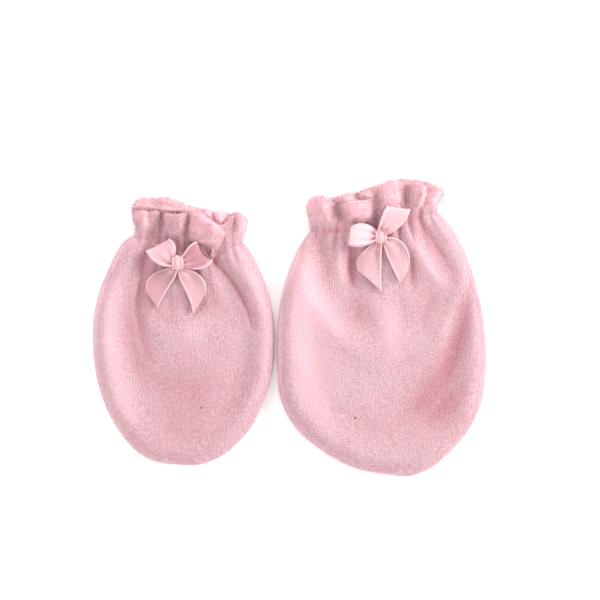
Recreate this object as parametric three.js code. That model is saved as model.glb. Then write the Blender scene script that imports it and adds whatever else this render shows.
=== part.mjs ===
// A pair of newborn scratch mittens in pink velour, lying flat side by side. Each is a thumbless
// bag of two oval panels sewn round the edge and turned, gathered at the wrist by an elastic in
// the hem, which stands up above it as a frill, with a bow of satin ribbon tacked on the front.
// Millimetres, +Z up, +Y from the finger end to the wrist. Origin under the middle of the pair.
import * as THREE from 'three';

// Driving dimensions
const CLOTH = 1.5; // velour with its pile
const SEAM_CLOTH = 2.2; // the front's edge, where the seam allowance is turned in under it
const FRILL_CLOTH = 1.5; // the turned hem
const RIBBON = 1.0;
const GAP = 0.3; // between neighbouring pieces at a seam
const ELASTIC_GAP = 0.5; // between a panel and its frill, where the elastic pinches them
const SEAM_HEIGHT = 2.4; // of the side seam above the surface that the mitten lies on
const FRONT_ROLL = 7; // how far in from the seam the front's rounded side reaches
const BACK_ROLL = 3;
const SINK = { from: 4.2, to: 15.4 }; // how far in the front goes down to its lower middle
const SEAM_FADE = 16; // how far in the turned allowance thins out
const GATHER_LENGTH = 15; // how far the gathers run down from the elastic
const BACK_GATHER_LENGTH = 9;
const GATHER_END = { from: 1.2, to: 2.4 }; // in gather lengths, where a gather has died away
const BACK_BULGE = 1.1; // how far the back's wrist line curves away from the fingers
const KNOT = { width: 4.6, length: 5.4, height: 3.8 };
const CURL = { over: 0.7, back: 0.8, rise: 4.4 }; // of a fold that turns right over
const LOOP = { start: 3.1, neck: 3.6, height: 3.2, held: 0.1 }; // held is the share in the knot
const TAIL_CLEAR = { root: 0.7, end: 0.2 }; // above the front and the gap

// Cells of each piece's wall
const ROLL_CELLS = 5;
const FRONT_CELLS = { across: 26, along: 23 };
const BACK_ROLL_CELLS = 3;
const BACK_CELLS = { across: 14, along: 12 };
const FRILL_CELLS = { perTurn: 3, up: 4 };
const LOOP_CELLS = { round: 20, across: 3 };
const TAIL_CELLS = { along: 8, across: 3 };

const PINK = new THREE.Color(0.93, 0.68, 0.73);
const FRILL_PINK = new THREE.Color(0.94, 0.67, 0.72);
const SATIN_PINK = new THREE.Color(0.97, 0.74, 0.79);

// Each mitten is measured from the middle of its finger end: x to the right, y towards the wrist.
// outline runs from the left end of the wrist round the fingers to the right end. corners are the
// rows where the panel's side edges end and its finger edge begins. wrist is the elastic's line
// across the front. rises gives the height of the rounded side and of the middle at distances from
// the finger end. curl is how far a fold of the frill turns over to the front.
const LEFT = {
  name: 'left',
  place: { x: -40.606, y: -52.766 },
  outline: [
    { x: -19.5, y: 88.6 }, { x: -24.2, y: 85.0 }, { x: -28.8, y: 75.8 }, { x: -32.7, y: 66.5 },
    { x: -34.8, y: 56.0 }, { x: -34.9, y: 44.0 }, { x: -33.4, y: 33.0 }, { x: -30.2, y: 23.0 },
    { x: -25.4, y: 14.2 }, { x: -18.9, y: 6.0 }, { x: -11.5, y: 1.5 }, { x: -3.0, y: 0.2 },
    { x: 7.0, y: 0.2 }, { x: 16.5, y: 4.6 }, { x: 25.6, y: 14.0 }, { x: 30.4, y: 23.5 },
    { x: 33.9, y: 33.5 }, { x: 35.0, y: 44.0 }, { x: 34.9, y: 55.0 }, { x: 32.9, y: 65.8 },
    { x: 29.2, y: 75.8 }, { x: 25.0, y: 83.6 }, { x: 21.5, y: 86.4 },
  ],
  corners: { left: 8, right: 14 },
  wrist: [
    { x: -19.5, y: 88.6 }, { x: -12.6, y: 86.8 }, { x: -6.0, y: 84.2 }, { x: 1.0, y: 81.8 },
    { x: 8.6, y: 80.6 }, { x: 15.6, y: 83.2 }, { x: 21.5, y: 86.4 },
  ],
  rises: [
    { y: 0, side: 6.4, middle: 5.4 }, { y: 20, side: 7.0, middle: 5.1 },
    { y: 45, side: 7.5, middle: 5.1 }, { y: 70, side: 7.5, middle: 5.6 },
    { y: 90, side: 7.0, middle: 6.4 },
  ],
  creases: [
    { from: [-13, 83], via: [-26, 60], to: [-17, 30], width: 2.6, depth: -1.5 },
    { from: [9, 79], via: [21, 68], to: [24, 44], width: 2.3, depth: -1.8 },
    { from: [23.5, 44], via: [24, 32], to: [14, 18], width: 4.5, depth: -0.7 },
    { from: [-6, 70], via: [-5, 66], to: [-6, 60], width: 2.2, depth: -0.8 },
    { from: [8, 70], via: [8, 64], to: [6, 58], width: 2.6, depth: -0.7 },
    { from: [-14, 70], via: [-15, 60], to: [-9, 50], width: 4.0, depth: 0.6 },
    { from: [0, 58], via: [2, 48], to: [-1, 36], width: 7.0, depth: 0.5 },
  ],
  frontFolds: [
    { root: 0.0, bulge: 0.0, x: -19.4, y: 96.0, lift: 0.0, curl: 0.0 },
    { root: 0.06, bulge: 0.5, x: -16.8, y: 97.6, lift: 3.6, curl: 0.0 },
    { root: 0.13, bulge: -0.3, x: -13.2, y: 97.2, lift: 2.6, curl: 0.0 },
    { root: 0.19, bulge: 0.2, x: -10.4, y: 97.8, lift: 3.7, curl: 0.0 },
    { root: 0.26, bulge: -0.6, x: -8.2, y: 97.0, lift: 1.8, curl: 0.0 },
    { root: 0.33, bulge: 0.3, x: -5.8, y: 98.0, lift: 4.0, curl: 0.15 },
    { root: 0.42, bulge: 0.8, x: -2.2, y: 98.8, lift: 4.6, curl: 0.25 },
    { root: 0.5, bulge: 0.2, x: 1.4, y: 98.0, lift: 3.8, curl: 0.1 },
    { root: 0.55, bulge: -0.6, x: 3.4, y: 96.8, lift: 2.5, curl: 0.0 },
    { root: 0.6, bulge: 0.4, x: 5.6, y: 97.2, lift: 4.2, curl: 0.0 },
    { root: 0.67, bulge: 0.9, x: 9.8, y: 94.2, lift: 5.2, curl: 0.0 },
    { root: 0.73, bulge: 0.6, x: 13.2, y: 91.8, lift: 5.0, curl: 0.0 },
    { root: 0.785, bulge: -0.2, x: 16.2, y: 93.0, lift: 3.8, curl: 0.0 },
    { root: 0.84, bulge: 0.2, x: 18.2, y: 95.6, lift: 3.4, curl: 0.0 },
    { root: 0.89, bulge: -0.3, x: 20.2, y: 95.4, lift: 2.2, curl: 0.0 },
    { root: 0.945, bulge: 0.3, x: 22.4, y: 95.4, lift: 3.2, curl: 0.0 },
    { root: 1.0, bulge: 0.0, x: 24.6, y: 91.2, lift: 0.0, curl: 0.0 },
  ],
  backFolds: [
    { root: 0.0, bulge: 0.0, x: -20.0, y: 99.6, lift: 0.0, curl: 0.0 },
    { root: 0.1, bulge: 0.5, x: -16.2, y: 102.6, lift: 1.0, curl: 0.0 },
    { root: 0.2, bulge: 0.0, x: -11.8, y: 102.4, lift: -0.7, curl: 0.0 },
    { root: 0.32, bulge: 0.6, x: -7.2, y: 102.8, lift: 1.1, curl: 0.0 },
    { root: 0.43, bulge: 0.0, x: -3.0, y: 101.8, lift: -0.7, curl: 0.0 },
    { root: 0.54, bulge: 0.6, x: 1.0, y: 99.8, lift: 1.0, curl: 0.0 },
    { root: 0.65, bulge: 0.0, x: 6.0, y: 98.4, lift: -0.7, curl: 0.0 },
    { root: 0.76, bulge: 0.5, x: 11.6, y: 96.8, lift: 0.9, curl: 0.0 },
    { root: 0.85, bulge: 0.0, x: 16.6, y: 96.6, lift: -0.6, curl: 0.0 },
    { root: 0.93, bulge: 0.3, x: 21.2, y: 96.8, lift: 0.6, curl: 0.0 },
    { root: 1.0, bulge: 0.0, x: 25.0, y: 93.8, lift: 0.0, curl: 0.0 },
  ],
  bow: {
    knot: { x: -2.0, y: 77.6 },
    loops: {
      left: { turn: 139, length: 11.2, width: 9.0, tilt: 0.4 },
      right: { turn: 24, length: 11.6, width: 9.2, tilt: 0.4 },
    },
    tails: {
      left: {
        outer: [[-2.6, -1.8], [-14.6, -6.0], [-8.0, -17.4]],
        inner: [[-0.3, -3.1], [-2.6, -9], [-7.2, -17.5]],
      },
      right: {
        outer: [[2.6, -2.0], [14.4, -6.6], [6.6, -19.2]],
        inner: [[0.4, -3.1], [2.6, -9], [5.8, -19.6]],
      },
    },
  },
};

const RIGHT = {
  name: 'right',
  place: { x: 35.194, y: -56.966 },
  outline: [
    { x: -26.6, y: 94.8 }, { x: -31.2, y: 89.2 }, { x: -35.4, y: 80.0 }, { x: -38.8, y: 67.7 },
    { x: -40.3, y: 55.0 }, { x: -40.2, y: 41.0 }, { x: -38.9, y: 29.0 }, { x: -33.2, y: 18.6 },
    { x: -26.0, y: 12.2 }, { x: -17.3, y: 6.2 }, { x: -8.0, y: 2.3 }, { x: 2.0, y: 0.6 },
    { x: 11.0, y: 0.0 }, { x: 19.4, y: 3.2 }, { x: 26.6, y: 9.6 }, { x: 34.0, y: 18.2 },
    { x: 38.6, y: 28.2 }, { x: 40.3, y: 40.0 }, { x: 40.3, y: 51.5 }, { x: 38.9, y: 63.5 },
    { x: 36.2, y: 75.0 }, { x: 32.2, y: 86.4 }, { x: 27.6, y: 95.4 }, { x: 21.8, y: 102.2 },
  ],
  corners: { left: 8, right: 14 },
  wrist: [
    { x: -26.6, y: 94.8 }, { x: -18.8, y: 94.2 }, { x: -10.8, y: 94.8 }, { x: -2.6, y: 94.4 },
    { x: 5.4, y: 96.4 }, { x: 13.6, y: 100.0 }, { x: 21.8, y: 102.2 },
  ],
  rises: [
    { y: 0, side: 6.0, middle: 5.3 }, { y: 20, side: 6.9, middle: 5.5 },
    { y: 50, side: 7.5, middle: 5.8 }, { y: 78, side: 7.5, middle: 6.1 },
    { y: 102, side: 7.0, middle: 6.4 },
  ],
  creases: [
    { from: [-23, 92], via: [-24, 82], to: [-22, 72], width: 2.8, depth: -1.3 },
    { from: [-28, 88], via: [-30, 62], to: [-8, 46], width: 3.8, depth: 0.9 },
    { from: [-11, 90], via: [-11, 80], to: [-9, 68], width: 2.8, depth: -1.7 },
    { from: [12, 84], via: [13, 78], to: [12, 71], width: 2.6, depth: -1.4 },
    { from: [14, 92], via: [19, 82], to: [27, 70], width: 2.6, depth: 0.9 },
    { from: [17, 98], via: [25, 88], to: [29, 74], width: 3.6, depth: -1.2 },
    { from: [34, 70], via: [29, 50], to: [22, 26], width: 4.4, depth: -1.4 },
    { from: [24, 66], via: [22, 50], to: [15, 36], width: 4.0, depth: 0.6 },
    { from: [-14, 70], via: [-9, 60], to: [-4, 54], width: 4.0, depth: -0.9 },
    { from: [14, 66], via: [13, 60], to: [8, 52], width: 3.5, depth: -0.6 },
  ],
  frontFolds: [
    { root: 0.0, bulge: 0.0, x: -28.4, y: 103.6, lift: 0.0, curl: 0.0 },
    { root: 0.07, bulge: 0.4, x: -26.8, y: 106.6, lift: 3.4, curl: 0.0 },
    { root: 0.14, bulge: 0.7, x: -23.4, y: 107.0, lift: 4.6, curl: 0.0 },
    { root: 0.2, bulge: 0.0, x: -20.2, y: 105.8, lift: 3.2, curl: 0.0 },
    { root: 0.26, bulge: -0.8, x: -17.2, y: 104.8, lift: 1.0, curl: 0.0 },
    { root: 0.315, bulge: 0.0, x: -14.4, y: 105.6, lift: 3.0, curl: 0.1 },
    { root: 0.37, bulge: 0.7, x: -11.2, y: 106.6, lift: 4.4, curl: 0.3 },
    { root: 0.42, bulge: 0.7, x: -7.4, y: 107.4, lift: 4.4, curl: 0.3 },
    { root: 0.47, bulge: 0.0, x: -4.2, y: 107.8, lift: 3.2, curl: 0.08 },
    { root: 0.515, bulge: -0.6, x: -1.8, y: 109.0, lift: 1.8, curl: 0.0 },
    { root: 0.57, bulge: 0.4, x: 1.0, y: 111.8, lift: 3.8, curl: 0.0 },
    { root: 0.64, bulge: 0.8, x: 4.6, y: 113.0, lift: 4.8, curl: 0.0 },
    { root: 0.7, bulge: -0.2, x: 8.4, y: 112.6, lift: 2.6, curl: 0.0 },
    { root: 0.74, bulge: -0.6, x: 10.6, y: 112.0, lift: 1.8, curl: 0.0 },
    { root: 0.79, bulge: 0.5, x: 13.2, y: 112.6, lift: 4.2, curl: 0.0 },
    { root: 0.85, bulge: 0.4, x: 16.0, y: 111.8, lift: 3.9, curl: 0.0 },
    { root: 0.89, bulge: -0.4, x: 17.8, y: 110.6, lift: 1.8, curl: 0.0 },
    { root: 0.95, bulge: 0.3, x: 21.6, y: 111.0, lift: 3.6, curl: 0.0 },
    { root: 1.0, bulge: 0.0, x: 24.0, y: 108.8, lift: 0.0, curl: 0.0 },
  ],
  backFolds: [
    { root: 0.0, bulge: 0.0, x: -28.8, y: 104.6, lift: 0.0, curl: 0.0 },
    { root: 0.1, bulge: 0.5, x: -24.0, y: 107.4, lift: 1.0, curl: 0.0 },
    { root: 0.2, bulge: 0.0, x: -19.0, y: 106.6, lift: -0.7, curl: 0.0 },
    { root: 0.3, bulge: 0.6, x: -13.8, y: 108.2, lift: 1.1, curl: 0.0 },
    { root: 0.4, bulge: 0.0, x: -8.8, y: 109.0, lift: -0.7, curl: 0.0 },
    { root: 0.5, bulge: 0.6, x: -3.6, y: 111.0, lift: 1.0, curl: 0.0 },
    { root: 0.6, bulge: 0.0, x: 1.8, y: 112.8, lift: -0.7, curl: 0.0 },
    { root: 0.7, bulge: 0.5, x: 7.2, y: 114.0, lift: 1.0, curl: 0.0 },
    { root: 0.8, bulge: 0.0, x: 12.8, y: 113.6, lift: -0.6, curl: 0.0 },
    { root: 0.9, bulge: 0.4, x: 18.6, y: 112.4, lift: 0.8, curl: 0.0 },
    { root: 1.0, bulge: 0.0, x: 24.4, y: 109.6, lift: 0.0, curl: 0.0 },
  ],
  bow: {
    knot: { x: -0.4, y: 92.0 },
    loops: {
      left: { turn: 178, length: 13.0, width: 8.4, tilt: 0.2 },
      right: { turn: 58, length: 12.6, width: 8.8, tilt: 0.6 },
    },
    tails: {
      left: {
        outer: [[-2.7, -1.6], [-15.2, -10.5], [-0.6, -21.4]],
        inner: [[-0.4, -3.1], [0.0, -11], [0.4, -21.4]],
      },
      right: {
        outer: [[2.7, -1.8], [16.0, -6.8], [7.6, -18.0]],
        inner: [[0.5, -3.1], [3.8, -9], [6.8, -18.4]],
      },
    },
  },
};

function smoothstep(low, high, value) {
  const t = THREE.MathUtils.clamp((value - low) / (high - low), 0, 1);
  return t * t * (3 - 2 * t);
}

// The rows of a table, each a list of numbers, joined by a Catmull-Rom curve: place runs from 0 to
// the last row's index.
function through(rows, place) {
  const last = rows.length - 1;
  const start = Math.min(Math.floor(place), last - 1);
  const t = place - start;
  const [p, q, r, s] = [start - 1, start, start + 1, start + 2].map(
    (i) => rows[THREE.MathUtils.clamp(i, 0, last)],
  );
  return q.map((value, k) => {
    const out = (r[k] - p[k]) / 2;
    const back = (s[k] - value) / 2;
    const rise = r[k] - value;
    return value + t * (out + t * (3 * rise - 2 * out - back + t * (out + back - 2 * rise)));
  });
}

// Where a rising column of a table reaches a value, as a place between its rows.
function placeOf(rows, column, value) {
  const last = rows.length - 1;
  let row = 0;
  while (row < last - 1 && rows[row + 1][column] < value) {
    row += 1;
  }
  const step = rows[row + 1][column] - rows[row][column];
  return row + THREE.MathUtils.clamp((value - rows[row][column]) / step, 0, 1);
}

function mix(a, b, t) {
  return a.map((value, k) => value + (b[k] - value) * t);
}

function bezier([a, b, c], t) {
  return mix(mix(a, b, t), mix(b, c, t), t);
}

// The seam line of a mitten, as points close together.
const OUTLINE_STEPS = 8;

function seamLine(mitten) {
  const rows = mitten.outline.map((row) => [row.x, row.y]);
  const steps = (rows.length - 1) * OUTLINE_STEPS;
  return Array.from({ length: steps + 1 }, (_, i) => through(rows, i / OUTLINE_STEPS));
}

// How far a point is from the seam line, and the direction that leads away from it.
function fromSeam(line, x, y) {
  let nearest = { distance: Infinity, away: [0, 1] };
  for (let i = 0; i + 1 < line.length; i += 1) {
    const [ax, ay] = line[i];
    const dx = line[i + 1][0] - ax;
    const dy = line[i + 1][1] - ay;
    const long = Math.hypot(dx, dy);
    const t = THREE.MathUtils.clamp(((x - ax) * dx + (y - ay) * dy) / long ** 2, 0, 1);
    const distance = Math.hypot(x - ax - dx * t, y - ay - dy * t);
    if (distance < nearest.distance) {
      // The line runs anticlockwise, so the mitten is on its left.
      nearest = { distance, away: [-dy / long, dx / long] };
    }
  }
  return nearest;
}

// The rounded side as a quarter of an ellipse: its height and its slope at a distance from the seam.
function roundedSide(distance, reach) {
  const left = 1 - Math.min(distance / reach, 1);
  const height = Math.sqrt(1 - left * left);
  return { height, slope: left / reach / Math.max(height, 1e-6) };
}

// The creases are soft troughs and ridges along bent lines, deepest in the middle of their length.
function creaseHeight(creases, x, y) {
  const samples = 12;
  return creases.reduce((sum, { from, via, to, width, depth }) => {
    let strongest = 0;
    for (let i = 0; i <= samples; i += 1) {
      const [cx, cy] = bezier([from, via, to], i / samples);
      const taper = Math.sin(Math.PI * (0.1 + (0.8 * i) / samples));
      const near = Math.exp(-((x - cx) ** 2 + (y - cy) ** 2) / width ** 2);
      strongest = Math.max(strongest, near * taper);
    }
    return sum + depth * strongest;
  }, 0);
}

function riseAt(mitten, y) {
  const rows = mitten.rises.map((row) => [row.y, row.side, row.middle]);
  const [, side, middle] = through(rows, placeOf(mitten.rises, 'y', y));
  return { side: side - SEAM_HEIGHT, middle: middle - SEAM_HEIGHT };
}

// What the front's height adds to its rounded side: the lower middle and the creases.
function frontRelief(mitten, line, x, y) {
  const { distance } = fromSeam(line, x, y);
  const { side, middle } = riseAt(mitten, y);
  const inwards = smoothstep(SINK.from, SINK.to, distance);
  const creased = smoothstep(1, FRONT_ROLL, distance);
  return (middle - side) * inwards + creaseHeight(mitten.creases, x, y) * creased;
}

// A panel's place on the surface that it lies on: a net between its four edges, with across and
// along from 0 to 1, from the left side to the right and from the finger edge to the wrist.
function panelNet(mitten, wrist) {
  const rows = mitten.outline.map((row) => [row.x, row.y]);
  const { left, right } = mitten.corners;
  const last = rows.length - 1;
  const leftSide = (t) => through(rows, left * (1 - t));
  const rightSide = (t) => through(rows, right + (last - right) * t);
  const fingers = (t) => through(rows, left + (right - left) * t);
  return (across, along) => {
    const sides = mix(leftSide(along), rightSide(along), across);
    const ends = mix(fingers(across), wrist(across), along);
    const low = mix(rows[left], rows[right], across);
    const high = mix(rows[0], rows[last], across);
    const corners = mix(low, high, along);
    return sides.map((value, k) => value + ends[k] - corners[k]);
  };
}

// The net's points, evened out between its edges until each lies amid its neighbours, so that no
// cell turns over where the seam runs smoothly past a corner.
function evenNet(net, columns, rows) {
  const points = rows.map((along) => columns.map((across) => net(across, along)));
  const share = (list, i) => (list[i + 1] - list[i]) / (list[i + 1] - list[i - 1]);
  const bend = (list, i) => 1 / (list[i + 1] - list[i]) / (list[i] - list[i - 1]);
  for (let round = 0; round < 200; round += 1) {
    for (let j = 1; j + 1 < rows.length; j += 1) {
      for (let i = 1; i + 1 < columns.length; i += 1) {
        const level = mix(points[j][i + 1], points[j][i - 1], share(columns, i));
        const upright = mix(points[j + 1][i], points[j - 1][i], share(rows, j));
        const [a, b] = [bend(columns, i), bend(rows, j)];
        points[j][i] = mix(level, upright, b / (a + b));
      }
    }
  }
  return points;
}

function frontWrist(mitten) {
  const rows = mitten.wrist.map((row) => [row.x, row.y]);
  return (across) => through(rows, across * (rows.length - 1));
}

function backWrist(mitten) {
  const ends = [mitten.outline[0], mitten.outline.at(-1)];
  const [left, right] = ends.map((row) => [row.x, row.y]);
  return (across) => {
    const [x, y] = mix(left, right, across);
    return [x, y + BACK_BULGE * Math.sin(Math.PI * across)];
  };
}

// How far the gathers lift the cloth at the elastic, from the folds of the frill above it.
function gatherAt(folds, across) {
  const rows = folds.map((fold) => [fold.bulge]);
  return through(rows, placeOf(folds, 'root', across))[0];
}

function gatherFade(mitten, wrist, across, y, length) {
  const below = Math.max(wrist(across)[1] - y, 0) / length;
  const ends = Math.sin(Math.PI * across) ** 0.4;
  return Math.exp(-(below ** 1.4)) * (1 - smoothstep(GATHER_END.from, GATHER_END.to, below)) * ends;
}

// Places from 0 to 1, evenly apart.
function evenPlaces(cells) {
  return Array.from({ length: cells + 1 }, (_, i) => i / cells);
}

// Places from 0 to 1, close together over a rounded edge of share long, at one end or at both.
function places(share, rollCells, plainCells, bothEnds) {
  const roll = Array.from(
    { length: rollCells },
    (_, i) => share * (1 - Math.cos((Math.PI / 2) * (i / rollCells))),
  );
  const end = bothEnds ? 1 - share : 1;
  const plain = evenPlaces(plainCells).map((place) => share + (end - share) * place);
  return [...roll, ...plain, ...(bothEnds ? roll.map((value) => 1 - value).reverse() : [])];
}

// A closed wall between two nets of points that face each other. upper[j][i] and lower[j][i] are
// at column i of row j, seen from above with columns to the right and rows away.
function wallBetween(upper, lower) {
  const rows = upper.length;
  const columns = upper[0].length;
  const points = [...upper.flat(), ...lower.flat()].flat();
  const top = (j, i) => j * columns + i;
  const under = (j, i) => rows * columns + j * columns + i;
  const faces = [];
  const quad = (a, b, c, d) => faces.push(a, b, c, a, c, d);
  for (let j = 0; j + 1 < rows; j += 1) {
    for (let i = 0; i + 1 < columns; i += 1) {
      quad(top(j, i), top(j, i + 1), top(j + 1, i + 1), top(j + 1, i));
      quad(under(j, i), under(j + 1, i), under(j + 1, i + 1), under(j, i + 1));
    }
  }
  for (let i = 0; i + 1 < columns; i += 1) {
    quad(top(0, i), under(0, i), under(0, i + 1), top(0, i + 1));
    quad(top(rows - 1, i + 1), under(rows - 1, i + 1), under(rows - 1, i), top(rows - 1, i));
  }
  for (let j = 0; j + 1 < rows; j += 1) {
    quad(top(j + 1, 0), under(j + 1, 0), under(j, 0), top(j, 0));
    quad(top(j, columns - 1), under(j, columns - 1), under(j + 1, columns - 1), top(j + 1, columns - 1));
  }
  const geometry = new THREE.BufferGeometry();
  geometry.setAttribute('position', new THREE.Float32BufferAttribute(points, 3));
  geometry.setIndex(faces);
  geometry.computeVertexNormals();
  return geometry;
}

// A wall of even thickness on both sides of a surface given by a function of two places.
function wallAlong(surface, columnPlaces, rowPlaces, thickness) {
  const step = 1e-3;
  const net = (side) => rowPlaces.map((v) => columnPlaces.map((u) => {
    const point = new THREE.Vector3(...surface(u, v));
    const [u0, u1] = [Math.max(u - step, 0), Math.min(u + step, columnPlaces.at(-1))];
    const [v0, v1] = [Math.max(v - step, 0), Math.min(v + step, rowPlaces.at(-1))];
    const across = new THREE.Vector3(...surface(u1, v)).sub(new THREE.Vector3(...surface(u0, v)));
    const along = new THREE.Vector3(...surface(u, v1)).sub(new THREE.Vector3(...surface(u, v0)));
    const normal = across.cross(along).normalize();
    return point.addScaledVector(normal, (side * thickness) / 2).toArray();
  }));
  return wallBetween(net(1), net(-1));
}

// The front: rounded down to the seam at its sides and fingers, lower in the middle, gathered at
// the wrist. surface gives the outer side's height, for what lies on it.
function frontPanel(mitten) {
  const line = seamLine(mitten);
  const wrist = frontWrist(mitten);
  const net = panelNet(mitten, wrist);
  const width = Math.max(...mitten.outline.map((row) => row.x)) * 2;
  const length = mitten.outline[0].y;
  const columns = places(FRONT_ROLL / width, ROLL_CELLS, FRONT_CELLS.across, true);
  const rows = places(FRONT_ROLL / length, ROLL_CELLS, FRONT_CELLS.along, false);
  const relief = (x, y) => frontRelief(mitten, line, x, y);
  const gathers = (across, x, y) => {
    const inwards = smoothstep(0, FRONT_ROLL, fromSeam(line, x, y).distance);
    const fade = gatherFade(mitten, wrist, across, y, GATHER_LENGTH);
    return gatherAt(mitten.frontFolds, across) * fade * inwards;
  };
  const step = 0.05;
  const point = (across, [x, y], inside) => {
    const { distance, away } = fromSeam(line, x, y);
    const { side } = riseAt(mitten, y);
    const rounded = roundedSide(distance, FRONT_ROLL);
    const z = SEAM_HEIGHT + GAP / 2 + side * rounded.height + relief(x, y) + gathers(across, x, y);
    if (!inside) {
      return [x, y, z];
    }
    const slopeX = (relief(x + step, y) - relief(x - step, y)) / (2 * step);
    const slopeY = (relief(x, y + step) - relief(x, y - step)) / (2 * step);
    const steep = side * rounded.slope;
    const flat = distance < 1e-6 ? 0 : 1;
    const normal = new THREE.Vector3(
      -steep * away[0] - slopeX * flat,
      -steep * away[1] - slopeY * flat,
      1,
    ).normalize();
    const thickness = SEAM_CLOTH + (CLOTH - SEAM_CLOTH) * smoothstep(3, SEAM_FADE, distance);
    return [x - normal.x * thickness, y - normal.y * thickness, z - normal.z * thickness];
  };
  const spread = evenNet(net, columns, rows);
  const upper = spread.map((row) => row.map((place, i) => point(columns[i], place, false)));
  const lower = spread.map((row) => row.map((place, i) => point(columns[i], place, true)));
  return {
    geometry: wallBetween(upper, lower),
    wristEdge: (across) => point(across, net(across, 1), false),
    height: (x, y) => {
      const { distance } = fromSeam(line, x, y);
      const { side } = riseAt(mitten, y);
      return SEAM_HEIGHT + GAP / 2 + side * roundedSide(distance, FRONT_ROLL).height + relief(x, y);
    },
    points: upper.flat(),
  };
}

// The back: flat on the surface, its edges rounded up to the seam, lifted a little by the gathers.
function backPanel(mitten) {
  const line = seamLine(mitten);
  const wrist = backWrist(mitten);
  const net = panelNet(mitten, wrist);
  const width = Math.max(...mitten.outline.map((row) => row.x)) * 2;
  const length = mitten.outline[0].y;
  const columns = places(BACK_ROLL / width, BACK_ROLL_CELLS, BACK_CELLS.across, true);
  const rows = places(BACK_ROLL / length, BACK_ROLL_CELLS, BACK_CELLS.along, false);
  const seam = SEAM_HEIGHT - GAP / 2;
  const point = (across, [x, y], inside) => {
    const { distance, away } = fromSeam(line, x, y);
    const rounded = roundedSide(distance, BACK_ROLL);
    const fade = gatherFade(mitten, wrist, across, y, BACK_GATHER_LENGTH);
    const lift = gatherAt(mitten.backFolds, across) * fade * smoothstep(0, FRONT_ROLL, distance);
    const z = seam * (1 - rounded.height) + Math.max(lift, 0);
    if (!inside) {
      return [x, y, z];
    }
    const steep = seam * rounded.slope;
    const normal = new THREE.Vector3(steep * away[0], steep * away[1], 1).normalize();
    return [x + normal.x * CLOTH, y + normal.y * CLOTH, z + normal.z * CLOTH];
  };
  const spread = evenNet(net, columns, rows);
  const upper = spread.map((row) => row.map((place, i) => point(columns[i], place, true)));
  const lower = spread.map((row) => row.map((place, i) => point(columns[i], place, false)));
  const wristEdge = (across) => {
    const place = net(across, 1);
    return [...place, point(across, place, true)[2]];
  };
  return { geometry: wallBetween(upper, lower), wristEdge };
}

// A frill stands up from the elastic in waves: from the panel's wrist edge to its own free edge,
// a row of the table for each crest and each dip. lift is the free edge's height over the seam's.
// A curled fold rises to its top and comes back over itself.
function frill(mitten, folds, wristEdge, side) {
  const half = FRILL_CLOTH / 2;
  const seam = SEAM_HEIGHT + side * (GAP / 2 + half);
  const rows = folds.map((fold) => [fold.root, fold.x, fold.y, seam + fold.lift, fold.curl]);
  const last = folds.length - 1;
  const surface = (u, v) => {
    const [root, x, y, height, curl] = through(rows, THREE.MathUtils.clamp(u, 0, last));
    const [rx, ry, edge] = wristEdge(THREE.MathUtils.clamp(root, 0, 1));
    const start = [rx, ry + ELASTIC_GAP, Math.max(edge - half, half)];
    const z = Math.max(height, half);
    const long = y - start[1];
    const bend = [x, y + curl * long * CURL.over, z + curl * CURL.rise * 0.3];
    const middle = mix(mix(start, [x, y, z], 0.5), bend, Math.min(curl * 2, 1));
    return bezier([start, middle, [x, y - curl * long * CURL.back, z + curl * CURL.rise]], v);
  };
  const columns = evenPlaces(last * FRILL_CELLS.perTurn).map((place) => place * last);
  const rowPlaces = evenPlaces(FRILL_CELLS.up);
  return {
    geometry: wallAlong(surface, columns, rowPlaces, FRILL_CLOTH),
    points: rowPlaces.flatMap((v) => columns.map((u) => surface(u, v)))
      .map(([x, y, z]) => [x, y, z + half]),
  };
}

// The highest point of what lies under a strip from the knot outwards.
function highestUnder(points, knot, turn, from, to, width) {
  const [dx, dy] = [Math.cos(turn), Math.sin(turn)];
  return Math.max(...points
    .filter(([x, y]) => {
      const out = (x - knot.x) * dx + (y - knot.y) * dy;
      const off = Math.abs((y - knot.y) * dx - (x - knot.x) * dy);
      return out > from && out < to && off < width / 2;
    })
    .map(([, , z]) => z));
}

// One loop of ribbon, a flattened ring that comes out of the knot, turns over and goes back in.
function bowLoop(knot, loop, under) {
  const turn = THREE.MathUtils.degToRad(loop.turn);
  const [dx, dy] = [Math.cos(turn), Math.sin(turn)];
  const rest = highestUnder(under, knot, turn, 0, loop.length + 1, loop.width + 1);
  const middle = rest + GAP + RIBBON / 2 + LOOP.height / 2;
  const surface = (u, v) => {
    const round = 2 * Math.PI * (LOOP.held / 2 + u * (1 - LOOP.held));
    const out = (1 - Math.cos(round)) / 2;
    const reach = LOOP.start + (loop.length - LOOP.start) * out;
    const wide = LOOP.neck + (loop.width - LOOP.neck) * out ** 0.7;
    const off = (v - 0.5) * wide;
    const z = middle - (LOOP.height / 2) * Math.sin(round) + loop.tilt * out;
    return [knot.x + dx * reach + dy * off, knot.y + dy * reach - dx * off, z];
  };
  return wallAlong(surface, evenPlaces(LOOP_CELLS.round), evenPlaces(LOOP_CELLS.across), RIBBON);
}

// One tail, a strip between two bent edges that meet at its slanting cut, lying on the front.
function bowTail(knot, tail, height, flip) {
  const surface = (u, v) => {
    const outer = bezier(tail.outer, v);
    const inner = bezier(tail.inner, v);
    const [x, y] = mix(flip ? inner : outer, flip ? outer : inner, u);
    const z = height(knot.x + x, knot.y + y) + GAP + RIBBON / 2;
    const clear = TAIL_CLEAR.root + (TAIL_CLEAR.end - TAIL_CLEAR.root) * smoothstep(0.2, 0.9, v);
    return [knot.x + x, knot.y + y, z + clear];
  };
  return wallAlong(
    (u, v) => surface(u, 1 - v),
    evenPlaces(TAIL_CELLS.across),
    evenPlaces(TAIL_CELLS.along),
    RIBBON,
  );
}

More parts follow.
